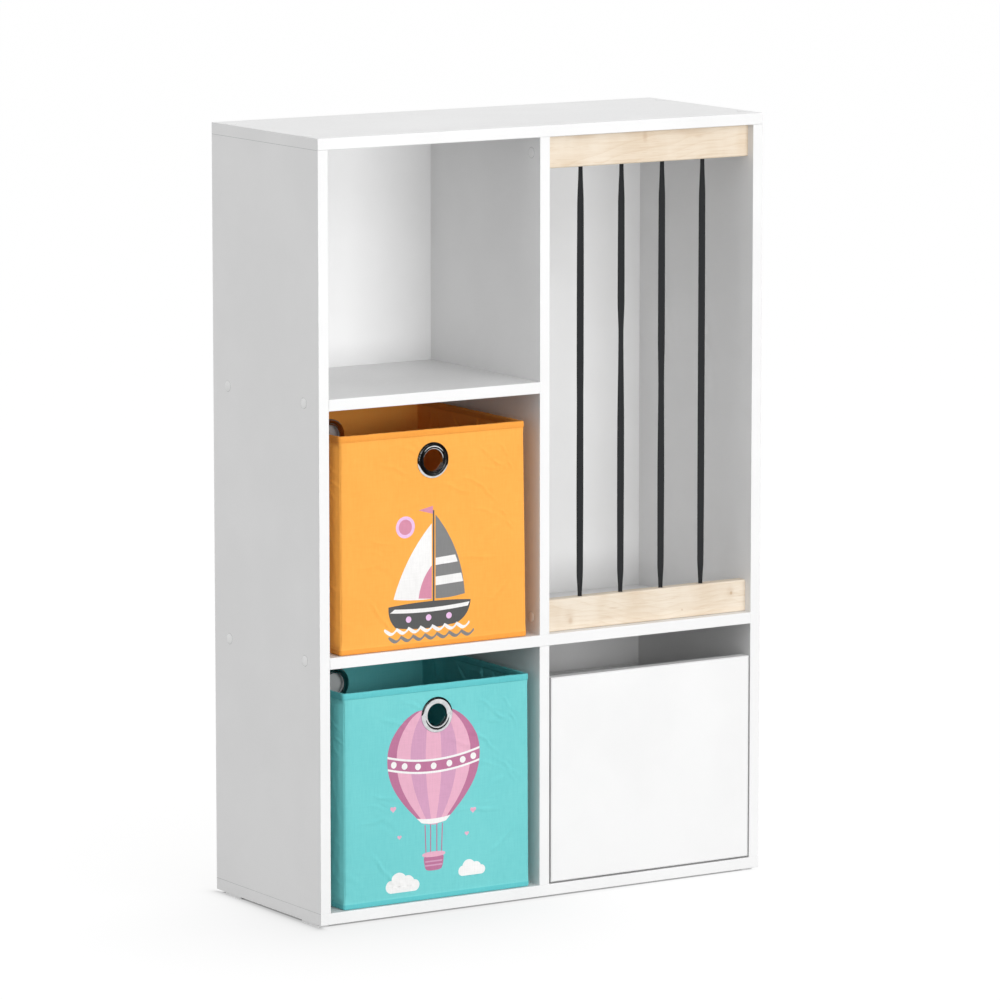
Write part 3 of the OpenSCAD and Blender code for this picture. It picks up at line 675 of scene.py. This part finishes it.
def hem_and_corners(run, z, low_z, starts, ends, free):
    """How far the outer cloth stands out for its shape alone: drawn in and creased at the four
    corners, bowed beside them on the two side walls, thicker at the hem, and round at the foot.
    free is 1 where neither the rim nor the hem holds the cloth."""
    out = np.zeros_like(run)
    for start, end, share in zip(starts, ends, corner_shares):
        off = run - (start + end) / 2
        sink = corner_sink * np.exp(-(off / sink_reach) ** 2)
        crease = crease_deep * np.exp(-((off - crease_sway * np.sin(z * 61)) / crease_wide) ** 2)
        out -= free * share * (sink + crease)
    for start, end in ((0.0, starts[0]), (ends[1], starts[2])):
        inward = np.maximum(np.minimum(run - start, end - run), 0)
        bow = (1 - np.exp(-inward / bow_reach)) * (0.35 + 0.65 * np.exp(-(inward / bow_fade) ** 2))
        out += free * side_bow * bow
    out += hem_proud * eased((low_z + hem_high + hem_edge - z) / hem_edge)
    rise = np.clip((z - low_z) / foot_r, 0, 1)
    return out - foot_r * (1 - np.sqrt(1 - (1 - rise) ** 2))


def cloth_sheet(path, low_z, high_z, steps, holes, prints, seed, strength, packets, hem):
    """A closed band of cloth on a wall path, cut along its holes and prints. Gives its points,
    its faces, the cloth run of each point, and the print that each face lies in, or -1."""
    length, hem_z = path[-1, 0], low_z + hem_high
    bends = path[1:, 0].reshape(4, bend_steps + 1)
    starts, ends = list(bends[:, 0]), list(bends[:, -1])
    runs = []
    for k, step in enumerate(steps):
        runs += straight_steps(ends[k - 1] if k else 0.0, starts[k], step)[1 if k else 0:]
        runs += list(np.linspace(starts[k], ends[k], bend_lines)[1:])
    lines = [low_z + t for t in (0.0, 0.0004, 0.0011, foot_r)] if hem else [low_z]
    fine_z = high_z - (row_high if hem else fine_zone)
    lines += straight_steps(lines[-1], hem_z, hem_row)[1:]
    lines += straight_steps(hem_z + 2 * hem_edge, fine_z, row_high)
    lines += straight_steps(fine_z, high_z, row_high if hem else fine_row)[1:]
    flat = [Vector((s, z)) for z in lines for s in runs]
    outlines = []
    for outline in holes + prints:
        outlines.append(list(range(len(flat), len(flat) + len(outline))))
        flat += [Vector(p) for p in outline]
    flat, _, faces, _, _, within = delaunay_2d_cdt(flat, [], outlines, 0, 1e-7, True)
    kept = [i for i, w in enumerate(within) if not any(k < len(holes) for k in w)]
    which = [max(within[i]) - len(holes) if within[i] else -1 for i in kept]
    run, z = np.array([p.x for p in flat]), np.array([p.y for p in flat])

    packets = packets + chance_packets(seed, strewn_count, length, high_z - low_z, strength)
    out = bulge(run, z - low_z, packets)
    from_corner = [np.minimum(abs(run - s), length - abs(run - s)) for s in starts + ends]
    from_corner = np.min(from_corner, axis=0)
    under_rim = eased((high_z - z - (rim_cover if hem else lining_cover)) / rim_fade)
    over_hem = eased((z - hem_z) / hem_fade)
    out *= (0.4 + 0.6 * eased(from_corner / corner_fade)) * over_hem * (0.15 + 0.85 * under_rim)
    for outline in holes:
        centre = np.mean(outline, axis=0)
        away = np.hypot(run - centre[0], z - centre[1])
        turn = np.arctan2(z - centre[1], run - centre[0])
        pucker = pucker_high * np.exp(-((away - eyelet_r) / pucker_fade) ** 2)
        pucker = pucker * np.cos(11 * turn + 2 * np.sin(2 * turn))
        out = (out + pucker) * eased((away - eyelet_r + 0.001) / 0.006)
    if hem:
        out += hem_and_corners(run, z, low_z, starts, ends, under_rim * over_hem)
    x, y, nx, ny = along_path(path, run)
    points = np.column_stack([x + nx * out, y + ny * out, z])
    return points, [faces[i] for i in kept], np.column_stack([run, z]), which


def ring_line(x, z, r, n=56):
    return [(x + r * math.cos(a), z + r * math.sin(a)) for a in turns(n)]


def softened(points, rounds=3):
    """A closed outline with its corners cut again and again, which leaves a smooth line."""
    for _ in range(rounds):
        points = [(near * a[0] + far * b[0], near * a[1] + far * b[1])
                  for a, b in zip(points, points[1:] + points[:1])
                  for near, far in ((0.75, 0.25), (0.25, 0.75))]
    return points


# ---- Fabric boxes: prints ----
# A flat picture in soft inks is screen-printed on the front of each box: a sailing boat on
# the orange one and a balloon on the turquoise one. Sizes are in millimetres on the wall.

ink_grey, ink_dark, ink_white = "#828282", "#565656", "#F4F3F2"
ink_rose, ink_blush = "#D98FA9", "#F0C4EC"
ink_pink, ink_lilac, ink_mauve = "#E8AFC6", "#D39DBD", "#BC7398"


def bowed(*corners, steps=14):
    """An outline through (x, z, sag) corners. sag is how far the middle of the side after a
    corner lies to the left of a straight one, and None leaves out the points on that side."""
    outline = []
    for (x, z, sag), (end_x, end_z, _) in zip(corners, corners[1:] + corners[:1]):
        dx, dz = end_x - x, end_z - z
        long = math.hypot(dx, dz)
        for t in [i / steps for i in range(steps)] if sag is not None else [0.0]:
            off = (sag or 0) * 4 * t * (1 - t) / long
            outline.append((x + dx * t - dz * off, z + dz * t + dx * off))
    return outline


def boat_print():
    mast, foot, top, tip, wave = 148, 66, 182, 197, 19
    shapes = [(ring_line(103, 168, 15), ink_blush), (ring_line(103, 168, 10.5), ink_rose),
              ([(mast - 1.4, 50), (mast + 1.4, 50), (mast + 1.2, 188), (mast - 1.2, 188)], ink_dark),
              (bowed((mast + 3, foot, -1.5), (tip, foot + 3, -10), (mast + 3, top, None)), ink_grey)]
    for low, high in ((84, 96), (112, 122)):
        edge = [tip - 46 * ((z - foot) / (top - foot)) ** 1.55 for z in (low, high)]
        stripe = [(mast + 3.2, low), (edge[0], low + 2), (edge[1], high + 2), (mast + 3.2, high)]
        shapes.append((stripe, ink_white))
    shapes += [(bowed((84, foot + 4, -1.5), (mast - 3, foot, None), (mast - 3, 170, -7)), ink_white),
               (bowed((mast - 24, foot + 2, 0), (mast - 3, foot, 0), (mast - 3, 112, -4)), ink_rose),
               ([(mast - 1, 194), (mast - 24, 189.5), (mast - 1, 183)], ink_rose),
               (bowed((88, 30, -4), (186, 30, -5), (206, 60, -3), (76, 60, -4)), ink_dark),
               (bowed((78.5, 51.5, -3), (201.5, 51.5, 0), (204.4, 57, 3), (76.8, 57, None))[:-1],
                ink_white)]
    shapes += [(ring_line(x, 40.5, 4.4, 32), ink_blush) for x in (108, 140, 172)]
    for start, z, ink in ((70, 26, ink_white), (77, 15, ink_grey)):
        crests = [(start + wave * k + wave * i / 10, z - 5.5 * math.sin(math.pi * i / 10))
                  for k in range(7) for i in range(10)]
        end = start + wave * 7
        tops = [(x, y + 4.6 + 1.3 * math.sin((x - start) / wave * math.pi * 2))
                for x, y in reversed(crests)]
        tail = [(end, z), (end + 1.5, z + 2.5), (end, z + 4.6)]
        shapes.append((crests + tail + tops + [(start - 1.5, z + 2.5)], ink))
    return shapes


def balloon_print():
    centre = 143
    side = [(0, 268), (26, 266), (52, 250), (71, 224), (75.5, 196),
            (69, 166), (50, 138), (29, 117), (16, 104), (0, 104)]
    outline = softened(side + [(-x, z) for x, z in reversed(side[1:-1])])
    right = np.array(sorted([p for p in outline if p[0] > 0], key=lambda p: p[1]))
    widths, heights = right[:, 0], right[:, 1]
    levels = np.linspace(heights[0], heights[-1], 46)
    reach = np.interp(levels, heights, widths)

    def seam(k):
        return [(centre + k * w, z) for w, z in zip(reach, levels)]

    def belt(low, high, sag, ink):
        lines = [[(centre + k * np.interp(z, heights, widths), z - sag * (1 - k * k))
                  for k in np.linspace(-1, 1, 31)] for z in (low, high)]
        return lines[0] + lines[1][::-1], ink

    edges = [-1.0, -0.8, -0.5, -0.17, 0.17, 0.5, 0.8, 1.0]
    inks = [ink_mauve, ink_pink, ink_lilac, ink_pink, ink_lilac, ink_pink, ink_mauve]
    shapes = [(seam(b) + seam(a)[::-1], ink) for a, b, ink in zip(edges, edges[1:], inks)]
    shapes += [belt(186, 206, 10, ink_white), belt(189, 203, 10, ink_mauve)]
    wide = np.interp(196, heights, widths)
    shapes += [(ring_line(centre + k * wide, 196 - 10 * (1 - k * k), 4.6, 30), ink_white)
               for k in (-0.86, -0.63, -0.34, 0.0, 0.34, 0.63, 0.86)]
    shapes.append(belt(108, 115, 2.5, ink_white))
    shapes += [([(centre + high_x - 0.8, 105), (centre + low_x - 0.8, 66),
                 (centre + low_x + 0.8, 66), (centre + high_x + 0.8, 105)], ink_mauve)
               for high_x, low_x in ((-14, -12.5), (14, 12.5), (-5, -5), (5, 5))]
    basket = [(-17, 66), (-14.5, 44), (-10, 40), (10, 40), (14.5, 44), (17, 66)]
    shapes.append((softened([(centre + x, z) for x, z in basket], 2), ink_mauve))
    shapes += [([(centre - 13.5, z), (centre + 13.5, z), (centre + 14, z + 2), (centre - 14, z + 2)],
                ink_lilac) for z in (46.5, 52)]
    brim = [(-18.5, 59), (18.5, 59), (18.5, 66.5), (-18.5, 66.5)]
    shapes.append((softened([(centre + x, z) for x, z in brim], 2), ink_pink))
    for x, z, size in ((92, 24, 1.0), (203, 34, 0.8)):
        shapes += [(ring_line(x + dx * size, z + dz * size, r * size, 36), ink_white)
                   for dx, dz, r in ((-17, 0, 9), (-5, 6, 13), (9, 3, 11), (20, -1, 8))]
        underside = [(-19, -9), (21, -9), (21, 0), (-19, 0)]
        shapes.append(([(x + dx * size, z + dz * size) for dx, dz in underside], ink_white))
    for x, z, r in ((78, 132, 5), (206, 118, 5), (88, 92, 3.6), (196, 86, 3.6)):
        heart = [(x + r * 16 / 17 * math.sin(t) ** 3,
                  z + r * (13 * math.cos(t) - 5 * math.cos(2 * t) - 2 * math.cos(3 * t)
                           - math.cos(4 * t)) / 17)
                 for t in np.linspace(0, -2 * math.pi, 40, endpoint=False)]
        shapes.append((heart, ink_pink))
    return shapes


def anticlockwise(outline):
    area = sum(a[0] * b[1] - b[0] * a[1] for a, b in zip(outline, outline[1:] + outline[:1]))
    return outline if area > 0 else outline[::-1]


ink_finishes = {}


def ink_finish(colour):
    """Ink in the cloth. The weave shows through it."""
    if colour not in ink_finishes:
        darker = "#" + "".join(f"{round(int(colour[i:i + 2], 16) * 0.93):02X}" for i in (1, 3, 5))
        ink_finishes[colour] = cloth("ink_" + colour[1:], colour, darker)
    return ink_finishes[colour]


# ---- Fabric boxes: the two boxes ----
# Every part of a box rides on that box: cloth walls inside and out, a sewn-in base, a loose
# board on it, a bound rim with its seam, and polished eyelets clinched through both walls.

chrome_dark, chrome_light = "#C8CACC", "#DCDDDE"
seam_drop = 0.0064
rim_out, rim_in = 0.00078, -0.00378
stitch_every, stitch_long, stitch_thick, stitch_pull = 0.0042, 0.0029, 0.00028, 0.00012
lining_drop, barrel_gap = 0.004, 0.0004
outside_strewn, inside_strewn = 0.0006, 0.00036
# The distance between the cloth's lines on the left, front, right and rear walls.
outside_steps, inside_steps = (0.0034, 0.0025, 0.0052, 0.0060), (0.0055, 0.0055, 0.0018, 0.0050)

chrome = Finish("polished_chrome", 0.09, Metallic=1.0)
handled = noise(chrome.where, 140, 3)
chrome.set(Base_Color=mixed(between(handled, 0.3, 0.7), chrome_dark, chrome_light),
           Roughness=between(handled, 0.35, 0.75, 0.06, 0.09))


def metres(*pairs):
    """Pairs of millimetres as pairs of metres."""
    return [(a / 1000, b / 1000) for a, b in pairs]


dome_profile = metres(
    (24.9, 0), (25, 0.5), (24.75, 1.05), (24.2, 1.5), (23.4, 1.83), (22.6, 2.02), (22.2, 2.08), (22, 2.1),
    (21.8, 2.112), (21.65, 2.115), (21.4, 2.111), (21, 2.097), (20.5, 2.075), (20.2, 2.059), (20, 2.046),
    (19.7, 2.019), (19.2, 1.958), (18.7, 1.883), (18.35, 1.843), (18.1, 1.831), (17.9, 1.828), (17.4, 1.828),
    (16.9, 1.828), (16.4, 1.826), (16.1, 1.78), (15.8, 1.62), (15.5, 1.25), (15.3, 0.6), (15.25, -2.4),
    (15.25, -4), (15.8, -4.9), (16.7, -5.3), (17.6, -5), (18, -4.3), (17.2, -4), (16.25, -3.6),
    (16.25, -0.1))
washer_profile = metres(
    (16.6, -3.1), (24, -3.1), (24, -3.6), (23.5, -4.1), (21.5, -4.3), (19, -4.1), (16.6, -4.1))
rim_section = metres(
    (0, -8.3), (0.55, -8.2), (0.78, -7.6), (0.7, -6.4), (0.82, -5), (0.8, -2.2), (0.62, -0.6), (0, 0.2),
    (-0.8, 0.6), (-2.2, 0.6), (-3, 0.2), (-3.62, -0.6), (-3.8, -2.2), (-3.82, -5), (-3.7, -6.4),
    (-3.78, -7.6), (-3.55, -8.2), (-3, -8.3))


def rim_binding(path, top):
    """A strip of cloth folded over the top of the wall and sewn through, as points, faces and runs."""
    stations = np.concatenate([np.arange(0, path[-1, 0], stitch_every / 2), path[:, 0]])
    stations = np.unique(stations)[:-1]
    x, y, nx, ny = along_path(path, stations)
    sway = sum(high * np.sin(stations * pace + shift)
               for high, pace, shift in ((0.00016, 97, 0), (0.00012, 211, 1.3), (0.0001, 433, 0)))
    pull = stitch_pull * np.cos(2 * math.pi * stations / stitch_every)
    points, runs = [], []
    for i, s in enumerate(stations):
        for k, (out, up) in enumerate(rim_section):
            level = 1.0 if 3 <= k <= 14 else 0.5
            tug = pull[i] if k in (2, 3, 4, 13, 14, 15) else 0.0
            out = out + (sway[i] * level + tug) * (1 if k < 9 else -1)
            rise = up + sway[i] * (0.5 if up < -0.004 else 0.8)
            points.append((x[i] + nx[i] * out, y[i] + ny[i] * out, top + rise))
            runs.append((s, up + out))
    faces = [(a, d, c, b) for a, b, c, d in grid_faces(len(stations), len(rim_section), closed=True)]
    return points, faces, runs


def seam_stitches(path, z, out):
    """A row of machine stitches on a wall path, each one a short spindle of thread."""
    rings = [(-0.5, 0.25, -0.6), (-0.3, 1.0, 0.15), (0.3, 1.0, 0.15), (0.5, 0.25, -0.6)]
    parts = []
    for s in np.arange(stitch_every / 2, path[-1, 0] - stitch_every / 2, stitch_every):
        x, y, nx, ny = (float(v) for v in along_path(path, s))
        ahead, side, up = Vector((-ny, nx, 0)), Vector((nx, ny, 0)), Vector((0, 0, 1))
        centre = Vector((x, y, z)) + side * out
        points = [centre + ahead * (at * stitch_long) + side * (stitch_thick * (sink + fat * math.cos(a)))
                  + up * (stitch_thick * fat * math.sin(a)) for at, fat, sink in rings for a in turns(5)]
        parts.append((points, grid_faces(len(rings), 5, wrap=True)))
    return gathered(parts)


def padded_slab(low, high, radius, crown, steps, seed):
    """A flat board under cloth: rounded edges, and a face that is never quite even."""
    chance = np.random.default_rng(seed)
    waves = [(chance.uniform(-1, 1, 2) * 60, chance.uniform(0, 6)) for _ in range(14)]
    points = []
    for level in (0, 1):
        for y in np.linspace(low.y, high.y, steps):
            for x in np.linspace(low.x, high.x, steps):
                rim = min(x - low.x, high.x - x, y - low.y, high.y - y)
                drop = radius - math.sqrt(max(0.0, radius ** 2 - max(0.0, radius - rim) ** 2))
                wave = sum(math.sin(w[0] * x + w[1] * y + p) for w, p in waves) / len(waves)
                uneven = crown * wave * min(1.0, rim / 0.02)
                points.append((x, y, (high.z - drop + uneven) if level else (low.z + drop)))
    area = steps * steps
    bottom = grid_faces(steps, steps)
    edge = [*range(area - steps, -1, -steps), *range(steps), *range(steps - 1, area, steps),
            *range(area - 1, area - steps, -1)]
    edge = list(dict.fromkeys(edge))
    return points, ([tuple(area + i for i in f) for f in bottom] + [f[::-1] for f in bottom] +
                    [(a, b, area + b, area + a) for a, b in zip(edge, edge[1:] + edge[:1])])


def packet(start, x, z, lean, long, wide, wave, height, shift=0.0):
    """A packet of wrinkles from sizes in millimetres and a lean in degrees, x being counted
    from start. With one_fold for its wave it is a single fold."""
    sizes = [size / 1000 for size in (long, wide, wave, height)]
    return (start + x / 1000, z / 1000, math.radians(lean), *sizes, shift)


one_fold = 10000
front_wrinkles = (
    (262, 262, -54, 11, 4, 9, 1.1), (250, 246, -30, 15, 5, 10, 1.1), (238, 240, -12, 12, 4, 10, 0.9),
    (271, 241, -62, 10, 4, 8, 1), (214, 222, -24, 18, 5, 11, 1.1), (234, 206, -46, 14, 5, 10, 1),
    (232, 262, -30, 16, 5, 11, 0.9), (226, 182, -18, 18, 5, 11, 0.7), (258, 176, -36, 15, 5, 10, 0.9),
    (268, 160, -58, 11, 4, 9, 0.9), (215, 118, -4, 30, 4, 10, 1.02), (62, 150, -12, 18, 4, 10, 1.02),
    (45, 118, 8, 20, 4, 10, 0.85), (60, 52, -52, 22, 5, 12, 1.36), (74, 36, -60, 14, 4, 10, 1.02),
    (120, 268, -28, 20, 6, 13, 1.02), (85, 250, -22, 22, 6, 13, 0.85), (185, 215, -20, 20, 5, 13, 1.02),
    (252, 70, 40, 26, 6, 13, 0.85), (180, 30, 65, 20, 6, 14, 0.85))
left_wrinkles = (
    (-9, 234, -26, 10, 4, 9, 1.4), (-16, 222, -58, 14, 5, 11, 1), (-8, 270, 80, 20, 3, 8, 0.8),
    (-18, 256, -34, 13, 4, 11, 1.2), (-11, 190, 66, 18, 4, 10, 0.9), (-20, 170, -70, 20, 5, 12, 0.9),
    (-10, 128, -78, 26, 4, 10, 0.8), (-13, 92, -30, 10, 4, 9, 0.9), (-8, 60, 72, 16, 3, 9, 0.8),
    (-12, 40, -46, 11, 4, 10, 0.9), (-24, 150, 88, 110, 11, 26, 0.9), (-50, 120, 92, 120, 14, 34, 1),
    (-20, 75, 84, 40, 6, 15, 0.9))
lining_creases = (
    (166, 273, 40, 20, 1.8, one_fold, 3), (173, 277, 42, 22, 4, one_fold, -2.4),
    (111, 280, 76, 11, 1.7, one_fold, 2.4), (117, 281, 76, 12, 3.6, one_fold, -1.8),
    (82, 283, 66, 10, 1.7, one_fold, 2), (88, 284, 66, 10, 3.6, one_fold, -1.8),
    (219, 270, 82, 20, 1.7, one_fold, 1.6), (240, 266, 84, 26, 7, 18, 1.3, 1.5),
    (130, 240, 30, 40, 10, 24, 1.8, 2.6), (190, 215, 60, 50, 12, 26, 1.8),
    (52, 283, 48, 12, 4, 12, 1.5, 0.9), (130, 275, 0, 50, 30, one_fold, -1.4))


def fabric_box(colour, cloth_codes, trim_codes, brightened_lining_codes, picture, foot_spread, seed):
    """foot_spread is how far the foot, spread by its board, stands out past the rim at the right."""
    front_low, front_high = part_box(colour + "_front")
    low = Vector((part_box(colour + "_left")[0].x, front_low.y, front_low.z))
    high = Vector((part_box(colour + "_right")[1].x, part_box(colour + "_rear")[1].y, front_high.z))
    depth, width = high.y - low.y, high.x - low.x
    eye_x, _, eye_z = middle(colour + "_eyelet_front")
    body = colour + "_box"
    cloth_finish = cloth(colour + "_cloth", *cloth_codes)
    trim_finish = cloth(colour + "_trim", *trim_codes)
    # The lining and the loose board get colours of their own, paler on the orange box: painted light,
    # standing in for light inside the box.
    brightened_lining = cloth(colour + "_lining", *brightened_lining_codes)
    outside = wall_path(low, high, corner_r)
    inner = Vector((wall_thick, wall_thick, 0))
    inside = wall_path(low + inner, high - inner, corner_r - wall_thick + 0.0008)

    def flared(points):
        points = np.array([tuple(p) for p in points])
        spread = np.interp(points[:, 0], [low.x + width / 2, high.x], [0.0, foot_spread])
        points[:, 0] += spread * (high.z - points[:, 2]) / (high.z - low.z)
        return points

    def hole_lines(path):
        """The eyelet holes of the front and the rear wall, as lines on the band of cloth, and
        the run at the front left corner."""
        bend_end, far_end = bend_steps + 1, 3 * (bend_steps + 1)
        corner = path[bend_end, 0] - (path[bend_end, 1] - low.x)
        places = corner + (eye_x - low.x), path[far_end, 0] + (path[far_end, 1] - eye_x)
        return [anticlockwise(ring_line(s, eye_z, barrel_r + barrel_gap)) for s in places], corner

    holes, corner = hole_lines(outside)
    shapes = [(anticlockwise([(corner + x / 1000, low.z + z / 1000) for x, z in line]), ink)
              for line, ink in picture]
    inks = sorted({ink for _, ink in shapes})
    pulls = [packet(corner, *row) for row in front_wrinkles + left_wrinkles]
    pulls += [packet(corner + at, 0, 150, 0, long, 130, one_fold, height)
              for at, long, height in ((width / 2, 160, 0.7), (-depth / 2, 150, 0.9),
                                       (width + depth / 2, 150, 0.9))]
    points, faces, runs, which = cloth_sheet(outside, low.z, high.z, outside_steps, holes,
                                             [s for s, _ in shapes], seed, outside_strewn, pulls, True)
    hem_top = low.z + hem_high + 0.0002
    finish_of = [1 if points[list(f), 2].max() < hem_top else 0 if w < 0 else 2 + inks.index(shapes[w][1])
                 for f, w in zip(faces, which)]
    finishes = [cloth_finish, trim_finish] + [ink_finish(ink) for ink in inks]
    walls = new_piece(colour + "_walls_outside", flared(points), faces, finishes,
                      which=finish_of, runs=runs)
    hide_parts(*[f"{colour}_{side}" for side in ("front", "rear", "left", "right")])

    base_low, base_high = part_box(colour + "_base")
    inner_holes, inner_corner = hole_lines(inside)
    folds = [packet(inner_corner + width - 2 * wall_thick, *row) for row in lining_creases]
    points, faces, runs, _ = cloth_sheet(inside, base_high.z, high.z - lining_drop, inside_steps,
                                         inner_holes, [], seed + 7, inside_strewn, folds, False)
    lining = new_piece(colour + "_walls_inside", flared(points), [f[::-1] for f in faces],
                       [brightened_lining], runs=runs)

    inset = Vector((foot_r * 0.9, foot_r * 0.9, 0))
    points, faces = padded_slab(Vector((low.x, low.y, base_low.z)) + inset,
                                Vector((high.x, high.y, base_high.z)) - inset, 0.0006, 0.0, 30, seed)
    points = flared(points)
    base = new_piece(colour + "_base_cloth", points, faces, [cloth_finish], runs=points[:, :2])
    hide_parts(colour + "_base")
    points, faces = padded_slab(*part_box(colour + "_board"), 0.0011, 0.0005, 44, seed + 3)
    board = new_piece(colour + "_base_board", points, faces, [brightened_lining],
                      runs=[p[:2] for p in points])
    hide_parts(colour + "_board")

    points, faces, runs = rim_binding(outside, high.z)
    rim = new_piece(colour + "_rim_binding", points, faces, [trim_finish], runs=runs)
    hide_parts(colour + "_rim")
    seams = gathered([seam_stitches(outside, high.z - seam_drop, out) for out in (rim_out, rim_in)])
    stitches = new_piece(colour + "_rim_stitches", *seams, [trim_finish],
                         runs=[(p[0], p[2]) for p in seams[0]])

    for side, y, axis in (("front", low.y, (0, -1, 0)), ("rear", high.y, (0, 1, 0))):
        turned = [turned_rings(profile, (eye_x, y, eye_z), axis, 120, closed=True)
                  for profile in (dome_profile, washer_profile)]
        eyelet = new_piece(f"{colour}_eyelet_{side}_ring", *gathered(turned), [chrome])
        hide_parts(f"{colour}_eyelet_{side}")
        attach(eyelet, body)
    for piece in (walls, lining, base, board, rim, stitches):
        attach(piece, body)


# The last pair of colours for each box, for its lining and board, is painted light inside the box.
fabric_box("orange", ("#FBB04C", "#F0A340"), ("#F2A23E", "#E89634"), ("#FFB24E", "#FFA845"),
           boat_print(), 0.0045, 11)
fabric_box("turquoise", ("#76CFCF", "#67C4C6"), ("#62C4C7", "#54B8BD"), ("#70D0D2", "#60C6CA"),
           balloon_print(), 0.002, 11)


# ---- Studio ----
# A pale floor that is seen white, keeps the object's own soft shadow and adds a painted shadow
# around and under the object's foot, a white room, and large soft lamps in front, above and at
# the left. The camera stands where the photographer's did.

floor_r = 30.0
floor_grey = "#909090"
floor_seen_grey = "#595959"
# How white the floor glows, and how much painted shadow is taken from that glow near the foot, along the
# left side and under the boards.
open_glow, painted_foot_shadow, dim_reach, gap_share = 0.93, 0.13, 0.2, 0.3
painted_contact_shadow, contact_reach = 0.3, 0.007
room_light = 0.68
curtain_r, curtain_rows, curtain_columns = 2.0, 10, 25
curtain_black = "#1C1C1D"
white = (1, 1, 1, 1)


def seen_as(tree, plain, shown, output):
    """Shows the camera one shader, also in metal and through glass, and leaves the plain one
    to light everything else."""
    ray = add(tree, "LightPath", {}).socket.node.outputs
    seen = maths("MAXIMUM", Value(ray["Is Glossy Ray"]), Value(ray["Is Transmission Ray"]))
    seen = maths("MAXIMUM", Value(ray["Is Camera Ray"]), seen)
    feed(tree.nodes[output].inputs["Surface"], add(tree, "MixShader", {0: seen, 1: plain, 2: shown}))


floor = Finish("studio_floor", 0.9, Base_Color=floor_grey, Specular_IOR_Level=0.1)
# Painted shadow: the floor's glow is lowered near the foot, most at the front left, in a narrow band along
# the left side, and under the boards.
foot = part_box("bottom_board")[1]
past_x = maths("MAXIMUM", abs(floor.x) - foot.x, 0.0)
past_y = maths("MAXIMUM", abs(floor.y) - foot.y, 0.0)
from_foot = maths("SQRT", past_x * past_x + past_y * past_y)
foot_shadow_paint = maths("EXPONENT", from_foot / -dim_reach)
foot_shadow_paint = foot_shadow_paint * between(floor.x, -0.2, 0.25, painted_foot_shadow, 0.0) * between(floor.y, -0.1, 0.2, 1.0, 0.3)
contact_shadow_paint = maths("EXPONENT", from_foot / -contact_reach)
contact_shadow_paint = contact_shadow_paint * between(floor.x, -foot.x, 0.01 - foot.x, painted_contact_shadow, 0.0)
far_under = maths("MINIMUM", (foot.x - abs(floor.x)) * 1.7, foot.y - abs(floor.y))
glow_here = (open_glow - (foot_shadow_paint + contact_shadow_paint)) * between(far_under, 0.003, 0.011, 1.0, gap_share)
glow = add(floor.tree, "Emission", {"Color": white, "Strength": glow_here})
grey_floor = add(floor.tree, "BsdfDiffuse", {"Color": floor_seen_grey})
shown = add(floor.tree, "AddShader", {0: grey_floor, 1: glow})
seen_as(floor.tree, Value(floor.surface.outputs[0]), shown, "Material Output")
disc = [(floor_r * math.cos(a), floor_r * math.sin(a), 0) for a in turns(60)]
ground = new_piece("studio_floor", disc, [range(len(disc))], [floor], smooth=False)

world = bpy.data.worlds.new("studio_room")
bpy.context.scene.world = world
world.use_nodes = True
room = world.node_tree.nodes["Background"]
room.inputs["Color"].default_value = white
room.inputs["Strength"].default_value = room_light
backdrop = add(world.node_tree, "Background", {"Color": white, "Strength": 1.0})
seen_as(world.node_tree, Value(room.outputs[0]), backdrop, "World Output")

# The black curtain in front of the floor is there for polished metal alone to mirror.
curtain_cloth = Finish("black_curtain", 1.0, Specular_IOR_Level=0.0, Base_Color=curtain_black)
bow = []
for r in range(curtain_rows):
    rise = math.radians(90 * r / (curtain_rows - 1))
    for c in range(curtain_columns):
        turn = math.radians(180 + 180 * c / (curtain_columns - 1))
        level = curtain_r * math.cos(rise)
        bow.append((level * math.cos(turn), level * math.sin(turn) - 0.2,
                    curtain_r * math.sin(rise) + 0.002))
curtain = new_piece("black_curtain", bow, grid_faces(curtain_rows, curtain_columns), [curtain_cloth])
curtain.visible_camera = curtain.visible_diffuse = False
curtain.visible_shadow = curtain.visible_transmission = False


def soft_lamp(name, place, aim_z, wide, high, watts):
    lamp = bpy.data.lights.new(name, "AREA")
    lamp.shape = "RECTANGLE"
    lamp.size, lamp.size_y = wide, high
    lamp.energy = watts
    holder = bpy.data.objects.new(name, lamp)
    bpy.context.scene.collection.objects.link(holder)
    holder.location = place
    holder.rotation_euler = (Vector((0, 0, aim_z)) - Vector(place)).to_track_quat("-Z", "Y").to_euler()


soft_lamp("high_lamp", (1.2, -6.0, 4.4), 0.5, 4.0, 3.0, 67)
soft_lamp("low_lamp", (0.3, -4.2, 0.85), 0.5, 3.2, 1.3, 108)
soft_lamp("top_lamp", (0.0, 0.0, 3.6), 1.0, 2.6, 2.6, 17)
soft_lamp("left_lamp", (-4.0, 0.4, 0.7), 0.4, 2.4, 1.2, 29.5)

lens = bpy.data.cameras.new("camera")
lens.sensor_width = 36.0
lens.lens = 225.88
lens.clip_end = 60.0
camera = bpy.data.objects.new("camera", lens)
bpy.context.scene.collection.objects.link(camera)
camera.location = (-4.5993, -7.3186, 1.8676)
camera.rotation_euler = (math.radians(81.2771), 0, math.radians(-32.2477))
bpy.context.scene.camera = camera
bpy.context.scene.view_settings.view_transform = "Standard"
